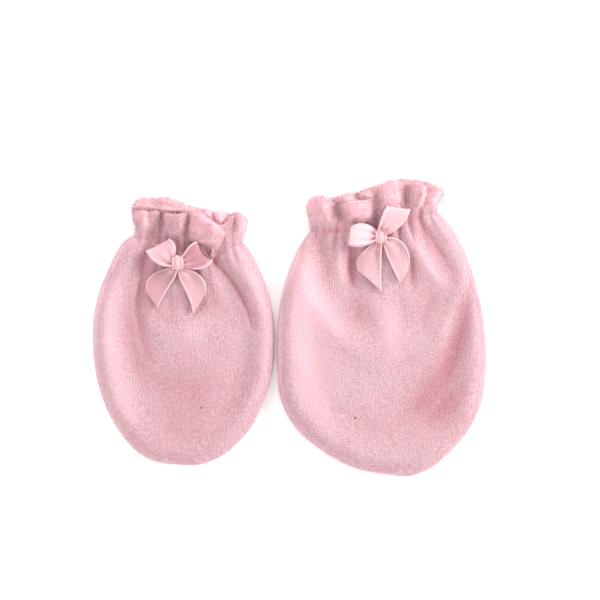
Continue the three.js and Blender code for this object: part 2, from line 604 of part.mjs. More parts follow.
// The band round the bow's middle, a rounded block.
function bowKnot(knot, rest) {
  const geometry = new THREE.SphereGeometry(0.5, 14, 9);
  geometry.rotateX(Math.PI / 2);
  geometry.scale(KNOT.width, KNOT.length, KNOT.height);
  geometry.translate(knot.x, knot.y, rest + GAP + KNOT.height / 2);
  return geometry;
}

function finish(colour, roughness) {
  return new THREE.MeshStandardMaterial({ color: colour, roughness, metalness: 0 });
}

const velour = finish(PINK, 0.95);
const hem = finish(FRILL_PINK, 0.97);
const satin = finish(SATIN_PINK, 0.45);

function makeMitten(mitten) {
  const group = new THREE.Group();
  group.position.set(mitten.place.x, mitten.place.y, 0);
  const add = (name, geometry, material) => {
    const mesh = new THREE.Mesh(geometry, material);
    mesh.name = `${mitten.name}_${name}`;
    group.add(mesh);
  };

  const front = frontPanel(mitten);
  const back = backPanel(mitten);
  add('front', front.geometry, velour);
  add('back', back.geometry, velour);

  const frontFrill = frill(mitten, mitten.frontFolds, front.wristEdge, 1);
  const backFrill = frill(mitten, mitten.backFolds, back.wristEdge, -1);
  add('frill_front', frontFrill.geometry, hem);
  add('frill_back', backFrill.geometry, hem);

  const { knot, loops, tails } = mitten.bow;
  const under = [...front.points, ...frontFrill.points];
  add('bow_loop_left', bowLoop(knot, loops.left, under), satin);
  add('bow_loop_right', bowLoop(knot, loops.right, under), satin);
  add('bow_tail_left', bowTail(knot, tails.left, front.height, false), satin);
  add('bow_tail_right', bowTail(knot, tails.right, front.height, true), satin);
  const rest = highestUnder(under, knot, 0, -KNOT.width / 2, KNOT.width / 2, KNOT.length);
  add('bow_knot', bowKnot(knot, rest), satin);
  return group;
}

const pair = new THREE.Group();
pair.add(makeMitten(LEFT), makeMitten(RIGHT));

export default pair;
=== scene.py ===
import math
from collections import namedtuple

import bpy
import numpy as np
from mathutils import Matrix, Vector, noise
from mathutils.bvhtree import BVHTree
from mathutils.kdtree import KDTree


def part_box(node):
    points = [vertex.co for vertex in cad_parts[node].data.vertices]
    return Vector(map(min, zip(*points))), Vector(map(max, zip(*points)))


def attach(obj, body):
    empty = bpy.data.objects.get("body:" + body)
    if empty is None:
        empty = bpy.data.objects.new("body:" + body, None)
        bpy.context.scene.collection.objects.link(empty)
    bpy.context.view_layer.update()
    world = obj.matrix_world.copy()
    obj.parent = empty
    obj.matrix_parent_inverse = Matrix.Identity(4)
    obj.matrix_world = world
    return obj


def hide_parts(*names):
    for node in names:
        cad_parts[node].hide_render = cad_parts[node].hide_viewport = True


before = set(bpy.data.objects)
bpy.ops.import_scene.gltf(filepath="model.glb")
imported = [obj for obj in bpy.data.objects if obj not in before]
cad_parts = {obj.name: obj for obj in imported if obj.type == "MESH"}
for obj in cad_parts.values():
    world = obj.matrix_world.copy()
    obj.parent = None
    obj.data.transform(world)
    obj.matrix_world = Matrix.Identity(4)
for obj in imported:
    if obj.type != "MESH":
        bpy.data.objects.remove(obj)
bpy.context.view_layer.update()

# The view. The pair lies on a white table and is seen from straight above, through a long lens.
# The picture is 600 pixels wide at 2.6 pixels to the millimetre.
MM = 0.001
PICTURE_PIXELS = 600
PIXELS_PER_MM = 2.6
VIEW_CENTRE = (4.03, 10.71)
VIEW_HEIGHT = 900
SENSOR_WIDTH = 36

camera_data = bpy.data.cameras.new("camera")
camera_data.sensor_width = SENSOR_WIDTH
camera_data.lens = SENSOR_WIDTH * VIEW_HEIGHT / (PICTURE_PIXELS / PIXELS_PER_MM)
camera = bpy.data.objects.new("camera", camera_data)
camera.location = (VIEW_CENTRE[0] * MM, VIEW_CENTRE[1] * MM, VIEW_HEIGHT * MM)
bpy.context.scene.collection.objects.link(camera)
bpy.context.scene.camera = camera
bpy.context.scene.view_settings.view_transform = "Standard"


# The table is a plain sheet of matt white board.
def add_node(tree, kind, values=(), **settings):
    """A shader node with its settings, each input a number, a colour or the output of another."""
    made = tree.nodes.new(kind)
    for name, value in settings.items():
        setattr(made, name, value)
    for socket, value in dict(values).items():
        if isinstance(value, bpy.types.NodeSocket):
            tree.links.new(value, made.inputs[socket])
        else:
            made.inputs[socket].default_value = value
    return made


def new_material(name, colour, roughness):
    """A material's tree with its shader, whose plain values are set on the shader's own sockets."""
    material = bpy.data.materials.new(name)
    material.use_nodes = True
    shader = material.node_tree.nodes["Principled BSDF"]
    shader.inputs["Base Color"].default_value = (*colour, 1)
    shader.inputs["Roughness"].default_value = roughness
    return material, material.node_tree, shader


TABLE_SIZE = 6
TABLE_GAP = 0.05
BOARD_WHITE = (0.93, 0.93, 0.93)

bpy.ops.mesh.primitive_plane_add(size=TABLE_SIZE, location=(0, 0, -TABLE_GAP * MM))
table = bpy.context.active_object
table.name = "table"
board, board_tree, board_shader = new_material("white_board", BOARD_WHITE, roughness=0.9)
board_shader.inputs["Specular IOR Level"].default_value = 0.1
board_shader.inputs["Emission Color"].default_value = (1, 1, 1, 1)
board_shader.inputs["Emission Strength"].default_value = 0.16
table.data.materials.append(board)

# The light is a white room with four large soft lamps set low round the table, as in a photo tent,
# the strongest of them at the right, so that the sides that face left are the darker ones. Each lamp
# is given by the angle at which it stands, the angle at which it is raised and its power in watts.
ROOM_LIGHT = 0.80
LAMP_DISTANCE = 950
LAMP_SIZE = 380
LAMPS = {
    "left_lamp": (186, 30, 1.4),
    "right_lamp": (20, 24, 8.4),
    "wrist_lamp": (100, 24, 4.4),
    "finger_lamp": (262, 16, 3.6),
}

room = bpy.data.worlds.new("room")
room.use_nodes = True
room.node_tree.nodes["Background"].inputs["Color"].default_value = (1, 1, 1, 1)
room.node_tree.nodes["Background"].inputs["Strength"].default_value = ROOM_LIGHT
bpy.context.scene.world = room

for name, (towards, raised, power) in LAMPS.items():
    lamp_data = bpy.data.lights.new(name, "AREA")
    lamp_data.size = LAMP_SIZE * MM
    lamp_data.energy = power
    stand = bpy.data.objects.new(name, lamp_data)
    around = math.radians(towards)
    flat = math.cos(math.radians(raised)) * LAMP_DISTANCE * MM
    height = math.sin(math.radians(raised)) * LAMP_DISTANCE * MM
    stand.location = (math.cos(around) * flat, math.sin(around) * flat, height)
    stand.rotation_euler = stand.location.to_track_quat("Z", "Y").to_euler()
    bpy.context.scene.collection.objects.link(stand)

# The two fronts. Each is an oval panel of thin pink velour, a knitted cloth with a short nap, sewn
# to the back round its edge and turned, so that its sides roll over, and drawn in by the elastic.
# Places in the tables are in millimetres from the middle of the mitten's finger end.
MITTENS = {"left": (-40.6, -52.77), "right": (35.2, -56.97)}
PINK = (0.68, 0.455, 0.492)
DEEP_PINK = (0.485, 0.27, 0.306)
# Painted shade: multiplied into the cloth in creases, gathers and on the shaded flanks.
PAINTED_SHADE_PINK = (0.77, 0.48, 0.535)
# Painted light: laid on the ridges, rolls, lobes and lit flanks.
PAINTED_LIGHT_PINK = (0.91, 0.55, 0.605)
SPECK_RED = (0.25, 0.06, 0.09)
WALE_SPACING = 0.8
COURSES_TO_WALE = 1.3
SEAM_CLOSING = 0.25

# A crease runs along its path. It is a trough where its depth is below 0 and a ridge above it. Side
# is -1 where its left flank is the steep one as it runs, 1 where the right one is, and 0 for neither.
# Its tone is painted shade below 0 and painted light above it, and without one it follows the depth,
# so that a crease with no depth only paints. A lobe is a part that lies on top, with straight sides that
# are soft over its edge, and its tone paints shade and light on it in the same way.
Crease = namedtuple("Crease", "path width depth side tone", defaults=(0, None))
Lobe = namedtuple("Lobe", "corners edge height tone")

FRONT_CREASES = {
    "left": [
        Crease([
            (-11.6, 90.0), (-12.9, 85.4), (-15.0, 78.1), (-16.1, 69.2), (-17.7, 61.2), (-16.9, 51.2),
            (-13.8, 41.2)
        ], width=2.0, depth=-2.3, side=-1, tone=-0.85),
        Crease([(-19.6, 74.2), (-21.1, 63.5), (-21.1, 51.9), (-18.4, 40.4), (-14.6, 29.6)],
               width=4.0, depth=-0.6, tone=-0.36),
        Crease([(-24.2, 80.4), (-28.4, 66.6), (-29.2, 50.0), (-26.1, 32.7)], width=4.0, depth=0.5),
        Crease([(-28.4, 32.0), (-24.0, 22.0), (-17.0, 13.0)], width=5.0, depth=0, tone=0.3),
        Crease([(-10.0, 16.0), (2.3, 12.0), (13.0, 15.0)], width=8.0, depth=0, tone=-0.35),
        Crease([(10.6, 79.4), (14.4, 75.8), (18.5, 71.2), (22.3, 65.0), (25.0, 58.9), (26.6, 52.7)],
               width=1.8, depth=-2.6, side=-1, tone=-0.75),
        Crease([(11.0, 78.4), (14.8, 75.0), (18.9, 70.4), (22.6, 64.4), (25.2, 58.5), (26.8, 52.0)],
               width=0.8, depth=-0.6, tone=-0.28),
        Crease([(26.2, 55.0), (26.9, 44.2), (24.6, 33.5), (20.0, 24.2), (14.6, 17.3)],
               width=3.2, depth=-0.8, tone=-0.3),
        Crease([(20.0, 78.1), (26.2, 69.6), (30.0, 59.6)], width=3.0, depth=0.5),
        Crease([(-3.1, 63.5), (4.6, 60.8), (12.3, 62.7)], width=3.0, depth=-0.6),
        Crease([(-4.6, 50.4), (2.3, 51.9), (9.2, 48.9)], width=5.0, depth=0.5),
        Crease([(-12.3, 63.5), (-9.2, 57.3), (-3.1, 53.5)], width=2.2, depth=-0.4),
        Crease([(11.6, 63.5), (16.2, 58.9), (18.5, 51.9)], width=2.4, depth=-0.5),
        Crease([(-5.4, 66.6), (-5.4, 61.2), (-3.8, 55.0)], width=1.6, depth=-0.5),
        Crease([(8.1, 73.1), (10.8, 67.3), (12.3, 61.2)], width=1.8, depth=-0.6),
        Crease([(-7.3, 32.7), (2.3, 28.1), (14.6, 29.6)], width=5.0, depth=-0.4),
        Crease([(-26.4, 72.0), (-29.0, 60.0), (-29.4, 48.0), (-26.4, 32.7), (-19.6, 18.0)],
               width=5.0, depth=0.2, tone=0.3),
        Crease([(-17.6, 90.4), (-23.8, 83.4), (-27.6, 74.6)], width=2.6, depth=0, tone=0.05),
        Crease([(-5.0, 68.0), (4.0, 48.0)], width=16, depth=0, tone=-0.12),
        Crease([(21.6, 81.9), (28.5, 70.4), (31.6, 58.9), (31.6, 46.2), (27.7, 32.7)],
               width=4.5, depth=0.2, tone=0.0),
        Crease([(-7.3, 40.4), (2.3, 28.1), (11.9, 21.2)], width=14, depth=0, tone=-0.42),
        Crease([(-16.9, 48.1), (-13.8, 36.6), (-7.3, 25.8)], width=4.2, depth=-0.6, tone=-0.3),
        Crease([(21.6, 34.6), (18.5, 23.1), (11.9, 14.2)], width=6, depth=-0.2, tone=-0.05),
        Crease([(-21.5, 63.5), (-23.1, 51.9), (-20.8, 35.8)], width=2.6, depth=-0.2, tone=-0.1),
    ],
    "right": [
        Crease([(-30.8, 90.8), (-31.2, 81.5), (-28.9, 70.8), (-22.7, 61.5), (-15.8, 52.3), (-10.4, 44.6)],
               width=4.8, depth=1.2, tone=0.62),
        Crease([(-25.8, 93.1), (-23.1, 88.4), (-21.6, 81.5), (-21.2, 73.8)],
               width=3.8, depth=-1.5, tone=-0.6),
        Crease([(-15.8, 89.2), (-16.6, 82.3), (-15.4, 73.8)], width=1.6, depth=0.6),
        Crease([(-11.2, 89.2), (-11.2, 82.3), (-10.8, 73.8)], width=1.7, depth=-2.6),
        Crease([(-11.9, 70.0), (-9.6, 62.3), (-4.2, 56.1)], width=5.0, depth=-0.9, tone=-0.6),
        Crease([(-18.1, 56.1), (-13.9, 47.7), (-5.8, 40.0)], width=4.0, depth=-0.6),
        Crease([(11.5, 85.4), (11.9, 79.2), (11.9, 71.5)], width=1.3, depth=-1.4),
        Crease([(8.8, 96.1), (12.9, 88.4), (16.9, 81.5), (22.7, 73.1)], width=2.0, depth=1.2, tone=0.8),
        Crease([(12.7, 100.8), (18.4, 92.3), (22.7, 85.4), (26.9, 77.7)], width=2.3, depth=-1.3, side=1),
        Crease([(18.8, 71.5), (18.8, 65.4), (15.0, 57.7)], width=3.0, depth=-0.8),
        Crease([
            (33.8, 75.0), (32.0, 66.5), (31.0, 57.0), (28.6, 47.0), (24.2, 37.7), (16.5, 29.2),
            (10.4, 22.3)
        ], width=4.6, depth=-1.7, side=1, tone=-1.05),
        Crease([(32.3, 78.0), (28.5, 67.7), (24.8, 56.6), (21.6, 47.6)], width=2.6, depth=1.1, tone=0.6),
        Crease([(-0.4, 67.7), (2.7, 58.1), (4.2, 48.4)], width=4.0, depth=0.6),
        Crease([(6.5, 70.8), (8.8, 63.8), (8.1, 55.4)], width=2.4, depth=-0.5),
        Crease([(-19.6, 29.2), (-8.1, 20.0), (7.3, 16.9)], width=5.0, depth=-0.4),
        Crease([(18.1, 21.5), (25.0, 28.4), (31.1, 38.4)], width=3.5, depth=-0.6),
        Crease([(-30.4, 84.0), (-32.8, 67.7), (-31.6, 48.4), (-25.9, 32.1), (-17.6, 19.7)],
               width=6.5, depth=0.3, tone=0.45),
        Crease([(28.5, 92.7), (35.8, 75.4), (38.1, 56.1), (35.8, 38.8), (28.5, 25.4)],
               width=5.0, depth=0.2, tone=-0.1),
        Crease([(1.5, 63.8), (4.2, 48.4)], width=9.0, depth=0, tone=0.1),
        Crease([(27.3, 35.0), (22.7, 25.4), (16.9, 17.7)], width=8.0, depth=-0.2, tone=-0.65),
    ],
}

# The waves of the frill run on through the elastic into the front below it. Their tones are
# painted shade in the troughs and painted light on the crests.
FRILL_WAVES = {
    "left": [
        Crease([(-8.1, 97.6), (-7.7, 93.5), (-8.4, 89.0)], width=0.9, depth=-1.5, tone=-0.44),
        Crease([(-11.2, 97.0), (-10.9, 92.4), (-11.4, 87.4)], width=2.2, depth=-0.8, tone=-0.17),
        Crease([(-14.5, 97.3), (-14.3, 93.0), (-14.6, 88.6)], width=1.6, depth=1.2, tone=0.7),
        Crease([(-18.6, 94.4), (-18.8, 89.6)], width=1.2, depth=-0.5, tone=-0.14),
        Crease([(2.2, 98.6), (1.7, 94.2), (0.9, 89.6), (0.4, 84.0)], width=1.1, depth=-1.5, tone=-0.44),
        Crease([(-2.7, 86.6), (-1.8, 82.6)], width=2.2, depth=-0.5, tone=-0.19),
        Crease([(4.6, 97.2), (10.2, 93.2), (15.8, 89.4)], width=1.0, depth=0.8, tone=0.8),
        Crease([(17.0, 88.4), (14.4, 83.6), (12.0, 78.6)], width=1.0, depth=-0.8, tone=-0.24),
        Crease([(2.6, 85.6), (6.0, 84.0), (10.4, 79.2)], width=0.9, depth=-0.7, tone=-0.3),
        Crease([(11.0, 79.2), (13.2, 77.0)], width=1.3, depth=-0.7, tone=-0.44),
        Crease([(17.4, 96.2), (17.5, 92.4), (18.3, 88.6)], width=0.9, depth=-0.7, tone=-0.17),
        Crease([(22.4, 96.6), (23.2, 92.2), (23.0, 87.6)], width=1.8, depth=1.0, tone=1.0),
        Crease([(19.7, 94.4), (19.7, 89.6)], width=0.8, depth=-0.6, tone=-0.24),
    ],
    "right": [
        Crease([(-17.0, 107.2), (-16.7, 101.5), (-14.6, 95.6)], width=1.9, depth=-1.7, tone=-0.44),
        Crease([(-3.4, 105.0), (-2.6, 101.2), (-1.9, 96.0)], width=1.1, depth=-0.8, tone=-0.2),
        Crease([(-12.4, 97.4), (-8.4, 95.2), (-4.0, 96.4)], width=0.9, depth=-0.8, tone=-0.3),
        Crease([(8.1, 113.1), (9.2, 107.3), (11.9, 101.5)], width=1.8, depth=-1.2, tone=-0.3),
        Crease([(16.5, 110.6), (15.9, 106.4), (12.8, 100.8)], width=0.8, depth=1.0, tone=0.9),
        Crease([(18.6, 109.4), (17.6, 105.4), (15.6, 101.8)], width=1.0, depth=-0.3, tone=0.1),
        Crease([(21.9, 110.6), (20.4, 106.1), (18.8, 102.9)], width=2.0, depth=0.8, tone=0.9),
        Crease([(-24.2, 91.5), (-19.6, 93.8), (-13.9, 95.4)], width=1.4, depth=-0.8, tone=-0.5),
    ],
}

# Where the end of the elastic makes a notch in the outline, and how far the cloth moves across.
NOTCHES = {"left": (-20.5, 91.0, 1.6), "right": (19.8, 103.4, -1.6)}

# Where the frill folds over, a lobe of it lies on top of the cloth round it.
LOBES = {
    "left": [
        Lobe([(2.6, 97.6), (16.2, 88.9), (11.2, 79.4), (2.6, 86.0)], edge=1.1, height=1.7, tone=0.35),
        Lobe([
            (-7.1, 97.7), (-1.5, 99.4), (1.6, 97.7), (1.2, 94.2), (-0.4, 89.6), (-4.6, 87.2),
            (-6.8, 90.4)
        ], edge=1.6, height=1.1, tone=-0.05),
    ],
    "right": [
        Lobe([
            (-13.5, 105.0), (-8.9, 105.4), (-5.0, 103.8), (-3.1, 100.8), (-3.9, 97.7), (-8.1, 96.5),
            (-11.9, 98.8)
        ], edge=4.4, height=2.0, tone=0.9),
        Lobe([(-28.5, 106.5), (-24.2, 108.4), (-19.6, 106.4), (-19.2, 100.4), (-20.4, 96.1), (-26.6, 95.4)],
             edge=1.8, height=0.8, tone=0.35),
        Lobe([(0.0, 113.6), (6.1, 113.6), (6.9, 106.1), (6.5, 102.3), (0.8, 103.1)],
             edge=2.4, height=0.9, tone=0.7),
    ],
}

# The gathers run down from the elastic: how far along it each one starts, how far it reaches, how
# deep it is and how far it leans to the right.
FRONT_GATHERS = {
    "left": [
        (0.07, 7, 0.5, -1.5), (0.13, 11, 0.7, -2.5), (0.25, 13, 0.8, -2.0), (0.32, 8, 0.6, -1.0),
        (0.39, 12, 0.7, -0.5), (0.47, 9, 0.6, 0.0), (0.56, 14, 0.9, 1.0), (0.64, 8, 0.6, 1.5),
        (0.71, 10, 0.7, 2.0), (0.8, 6, 0.5, 1.5), (0.87, 8, 0.6, 2.5), (0.94, 6, 0.4, 2.0),
    ],
    "right": [
        (0.06, 7, 0.5, -1.0), (0.12, 9, 0.5, -1.5), (0.22, 12, 0.8, -1.5), (0.29, 7, 0.6, -0.5),
        (0.36, 13, 0.8, -0.5), (0.43, 9, 0.5, 0.0), (0.51, 11, 0.6, 0.0), (0.58, 8, 0.6, 0.5),
        (0.66, 14, 0.8, 1.5), (0.74, 9, 0.7, 2.0), (0.82, 12, 0.8, 3.0), (0.89, 7, 0.5, 2.0),
        (0.95, 6, 0.4, 2.0),
    ],
}


def own_copy(node, name, levels):
    """The node's form as a mesh of its own, merged, in four-sided faces, and subdivided."""
    bpy.ops.object.select_all(action="DESELECT")
    piece = bpy.data.objects.new(name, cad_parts[node].data.copy())
    piece.data.materials.clear()
    bpy.context.scene.collection.objects.link(piece)
    piece.select_set(True)
    bpy.context.view_layer.objects.active = piece
    bpy.ops.mesh.customdata_custom_splitnormals_clear()
    bpy.ops.object.mode_set(mode="EDIT")
    bpy.ops.mesh.select_all(action="SELECT")
    bpy.ops.mesh.remove_doubles(threshold=0.02 * MM)
    bpy.ops.mesh.tris_convert_to_quads(
        face_threshold=math.radians(80), shape_threshold=math.radians(100)
    )
    bpy.ops.object.mode_set(mode="OBJECT")
    apply_modifier(piece, "SUBSURF", levels=levels, render_levels=levels)
    bpy.ops.object.shade_smooth()
    return piece


def apply_modifier(piece, kind, **settings):
    modifier = piece.modifiers.new(kind.lower(), kind)
    for name, value in settings.items():
        setattr(modifier, name, value)
    bpy.context.view_layer.objects.active = piece
    bpy.ops.object.modifier_apply(modifier=modifier.name)


def rows_of(items, name):
    """A vector that each item has, a row for each item."""
    values = np.empty(len(items) * 3)
    items.foreach_get(name, values)
    return values.reshape(-1, 3)


def points_of(piece):
    """The piece's points in millimetres."""
    return rows_of(piece.data.vertices, "co") / MM


def normals_of(piece):
    return rows_of(piece.data.vertex_normals, "vector")


def put_points(piece, points):
    piece.data.vertices.foreach_set("co", (points * MM).ravel())
    piece.data.update()


def smooth_step(low, high, value):
    share = np.clip((value - low) / (high - low), 0, 1)
    return share * share * (3 - 2 * share)


PATH_STEPS = 20
PATH_SMOOTHING = 15
CREASE_REACH = 3.5
GENTLE_FLANK = 1.5
STEEP_FLANK = 0.6


def smooth_line(path):
    """The path as a line of many points with its corners rounded."""
    corners = np.array(path, float)
    spans = len(corners) - 1
    share = np.linspace(0, spans, PATH_STEPS * spans + 1)
    columns = []
    for axis in (0, 1):
        line = np.interp(share, np.arange(spans + 1), corners[:, axis])
        padded = np.pad(line, PATH_SMOOTHING // 2, mode="reflect", reflect_type="odd")
        columns.append(np.convolve(padded, np.ones(PATH_SMOOTHING) / PATH_SMOOTHING, mode="valid"))
    return np.column_stack(columns)


def crease_share(points, path, width, side=0):
    """How much a crease along a path changes each point, from 0 to 1, and less at its two ends."""
    line = smooth_line(path)
    heading = np.gradient(line, axis=0)
    margin = width * CREASE_REACH
    low, high = line.min(0) - margin, line.max(0) + margin
    near = np.flatnonzero(((points[:, :2] > low) & (points[:, :2] < high)).all(1))
    share = np.zeros(len(points))
    if len(near) == 0:
        return share
    gaps = points[near, None, :2] - line[None]
    distances = np.hypot(gaps[..., 0], gaps[..., 1])
    nearest = distances.argmin(1)
    gap = gaps[np.arange(len(near)), nearest]
    ahead = heading[nearest]
    left = np.sign(ahead[:, 0] * gap[:, 1] - ahead[:, 1] * gap[:, 0])
    flank = np.where(left * side < 0, GENTLE_FLANK, np.where(left * side > 0, STEEP_FLANK, 1.0))
    along = nearest / (len(line) - 1)
    taper = np.sin(np.pi * (0.06 + 0.88 * along)) ** 0.7
    share[near] = taper * np.exp(-((distances.min(1) / (width * flank)) ** 1.7))
    return share


def add_creases(points, creases, depth_per_tone):
    """The height, and the tone of painted shade and light, that the creases give each point together."""
    height = np.zeros(len(points))
    tone = np.zeros(len(points))
    for crease in creases:
        share = crease_share(points, crease.path, crease.width, crease.side)
        own_tone = crease.depth / depth_per_tone if crease.tone is None else crease.tone
        height += crease.depth * share
        tone += own_tone * share
    return height, tone


def press(heights, change, base):
    """Heights changed by that much, where a trough never reaches the base."""
    softness = 4.5
    sunk = base + (heights - base) * np.exp(np.minimum(change, 0) / softness)
    return sunk + np.maximum(change, 0)


def keep_folds(piece, folds):
    """The piece's painted shade, below 0, and painted light, above it, kept on its points."""
    layer = piece.data.attributes.new("fold", "FLOAT", "POINT")
    layer.data.foreach_set("value", np.clip(folds, -1, 1).astype(np.float32))


def edge_line(node, lowest):
    """The lowest or highest Y of a node at each X, in millimetres, as two columns."""
    points = points_of(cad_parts[node])
    inset = 0.6
    half_step = 1.6
    places = np.linspace(points[:, 0].min() + inset, points[:, 0].max() - inset, 26)
    pick = np.min if lowest else np.max
    edge = [pick(points[np.abs(points[:, 0] - x) < half_step, 1]) for x in places]
    return places, np.convolve(np.pad(edge, 1, mode="edge"), [0.25, 0.5, 0.25], mode="valid")


def ripples(points, size, height):
    """Soft unevenness over the cloth."""
    at = points / size
    return height * np.array([noise.noise(Vector(row)) for row in at])


def pinch(points, wrist, depth, reach):
    """The groove in which the elastic holds the cloth, beside the line where the frill starts."""
    below = np.interp(points[:, 0], *wrist) - points[:, 1]
    return -depth * np.exp(-((below / reach) ** 2))


def place_on(wrist, share):
    """The place that far along a wrist's line, where 0 is its left end and 1 its right one."""
    x = wrist[0][0] + (wrist[0][-1] - wrist[0][0]) * share
    return x, np.interp(x, *wrist)


def lobe_share(points, corners, edge):
    """How much a fold that lies on top lifts each point: 1 within its outline, 0 beyond its edge."""
    outline = np.array(corners, float)
    ahead = np.roll(outline, -1, axis=0) - outline
    ahead /= np.linalg.norm(ahead, axis=1)[:, None]
    gaps = points[:, None, :2] - outline[None]
    inward = ahead[:, 1] * gaps[..., 0] - ahead[:, 0] * gaps[..., 1]
    return smooth_step(-edge / 2, edge / 2, inward.min(1))


def draw_in(name, points):
    """The cloth drawn in by the elastic where its end shows as a notch in the outline."""
    x, y, shift = NOTCHES[name]
    wide, high = 6, 3.2
    gaps = points[:, :2] - np.array(MITTENS[name]) - np.array([x, y])
    drawn = points.copy()
    drawn[:, 0] += shift * np.exp(-((gaps[:, 0] / wide) ** 2) - (gaps[:, 1] / high) ** 2)
    return drawn


def front_folds(name, points):
    """The height that folds, gathers and elastic give a front and its frill, and their painted shade and
    light.
    """
    local = points - np.array([*MITTENS[name], 0])
    height, tone = add_creases(local, FRONT_CREASES[name] + FRILL_WAVES[name], depth_per_tone=1.6)
    for lobe in LOBES[name]:
        share = lobe_share(local, lobe.corners, lobe.edge)
        height += lobe.height * share
        tone += lobe.tone * share
    wrist = edge_line(f"{name}_frill_front", lowest=True)
    above, sink, gather_shade = 3.4, 1.3, 0.4
    for at, reach, depth, lean in FRONT_GATHERS[name]:
        x, y = place_on(wrist, at)
        bend = lean * 0.3
        path = [(x - bend, y + above), (x, y), (x + bend, y - reach * 0.4), (x + lean, y - reach)]
        share = crease_share(points, path, width=0.9)
        height -= sink * depth * share
        # Each gather is given painted shade as deep as it is.
        tone -= gather_shade * depth * share
    height += pinch(points, wrist, depth=0.9, reach=1.6)
    height += ripples(local, size=9, height=0.35) + ripples(local, size=3.5, height=0.12)
    # Painted shade along the groove of the elastic.
    tone += pinch(points, wrist, depth=0.08, reach=1.4)
    return height, tone


def painted_flank_shading(points):
    """Painted shade and light on the outer flanks: darker where they face left and towards the finger
    end, away from the strongest lamps, and paler where they face right and towards the wrist.
    """
    flank_width = 6
    seam_height = 0.3
    right, wristward = 0.94, 0.34
    even, turned = -0.08, 0.28
    seam = np.flatnonzero(points[:, 2] < points[:, 2].min() + seam_height)
    tree = KDTree(len(seam))
    for number in seam:
        tree.insert((points[number, 0], points[number, 1], 0), number)
    tree.balance()
    tone = np.zeros(len(points))
    for number, (x, y, _) in enumerate(points):
        place, _, away = tree.find((x, y, 0))
        if 0.01 < away < flank_width:
            facing = (right * (place[0] - x) + wristward * (place[1] - y)) / away
            tone[number] = (even + turned * facing) * (1 - smooth_step(0.8, 5.0, away))
    return tone


def shape_front(name, points):
    """The front with its folds, which fade out on the roll, and its edge brought down to the seam,
    with the painted shade and light of its folds and its flanks.
    """
    points = draw_in(name, points)
    height, tone = front_folds(name, points)
    on_top = smooth_step(2.6, 4.6, points[:, 2])
    moved = points.copy()
    moved[:, 2] += (press(points[:, 2], height, base=2.0) - points[:, 2]) * on_top
    moved[:, 2] -= SEAM_CLOSING * (1 - smooth_step(2.5, 3.2, points[:, 2]))
    return moved, tone * on_top + painted_flank_shading(points)


def work_out(tree, operation, *values):
    """The result of a sum on numbers and on what other nodes give."""
    return add_node(tree, "ShaderNodeMath", dict(enumerate(values)), operation=operation).outputs[0]


def spread(tree, value, low, high, first=0.0, last=1.0):
    """The value, taken from between low and high to between first and last."""
    ends = {0: value, 1: low, 2: high, 3: first, 4: last}
    return add_node(tree, "ShaderNodeMapRange", ends).outputs[0]


def lay_over(tree, share, under, over, blend="MIX"):
    """One colour laid over another, each three numbers or what another node gives."""
    colours = [(*colour, 1) if isinstance(colour, tuple) else colour for colour in (under, over)]
    values = {0: share, 6: colours[0], 7: colours[1]}
    return add_node(tree, "ShaderNodeMix", values, data_type="RGBA", blend_type=blend).outputs[2]


def clouds(tree, place, scale, detail, roughness=0.5):
    """Noise from 0 to 1 at a place, with so many clouds to the millimetre."""
    values = {"Vector": place, "Scale": scale, "Detail": detail, "Roughness": roughness}
    return add_node(tree, "ShaderNodeTexNoise", values).outputs[0]


def place_in_mm(tree):
    place = add_node(tree, "ShaderNodeTexCoord").outputs["Object"]
    return add_node(tree, "ShaderNodeVectorMath", {0: place, 3: 1 / MM}, operation="SCALE").outputs[0]


def fold_of(tree):
    """The painted shade and light kept on the piece's points."""
    return add_node(tree, "ShaderNodeAttribute", attribute_name="fold").outputs["Fac"]


def add_relief(tree, shader, height, distance):
    """Bumps that are so many millimetres high."""
    values = {"Height": height, "Distance": distance * MM, "Strength": 1.0}
    relief = add_node(tree, "ShaderNodeBump", values)
    tree.links.new(relief.outputs[0], shader.inputs["Normal"])


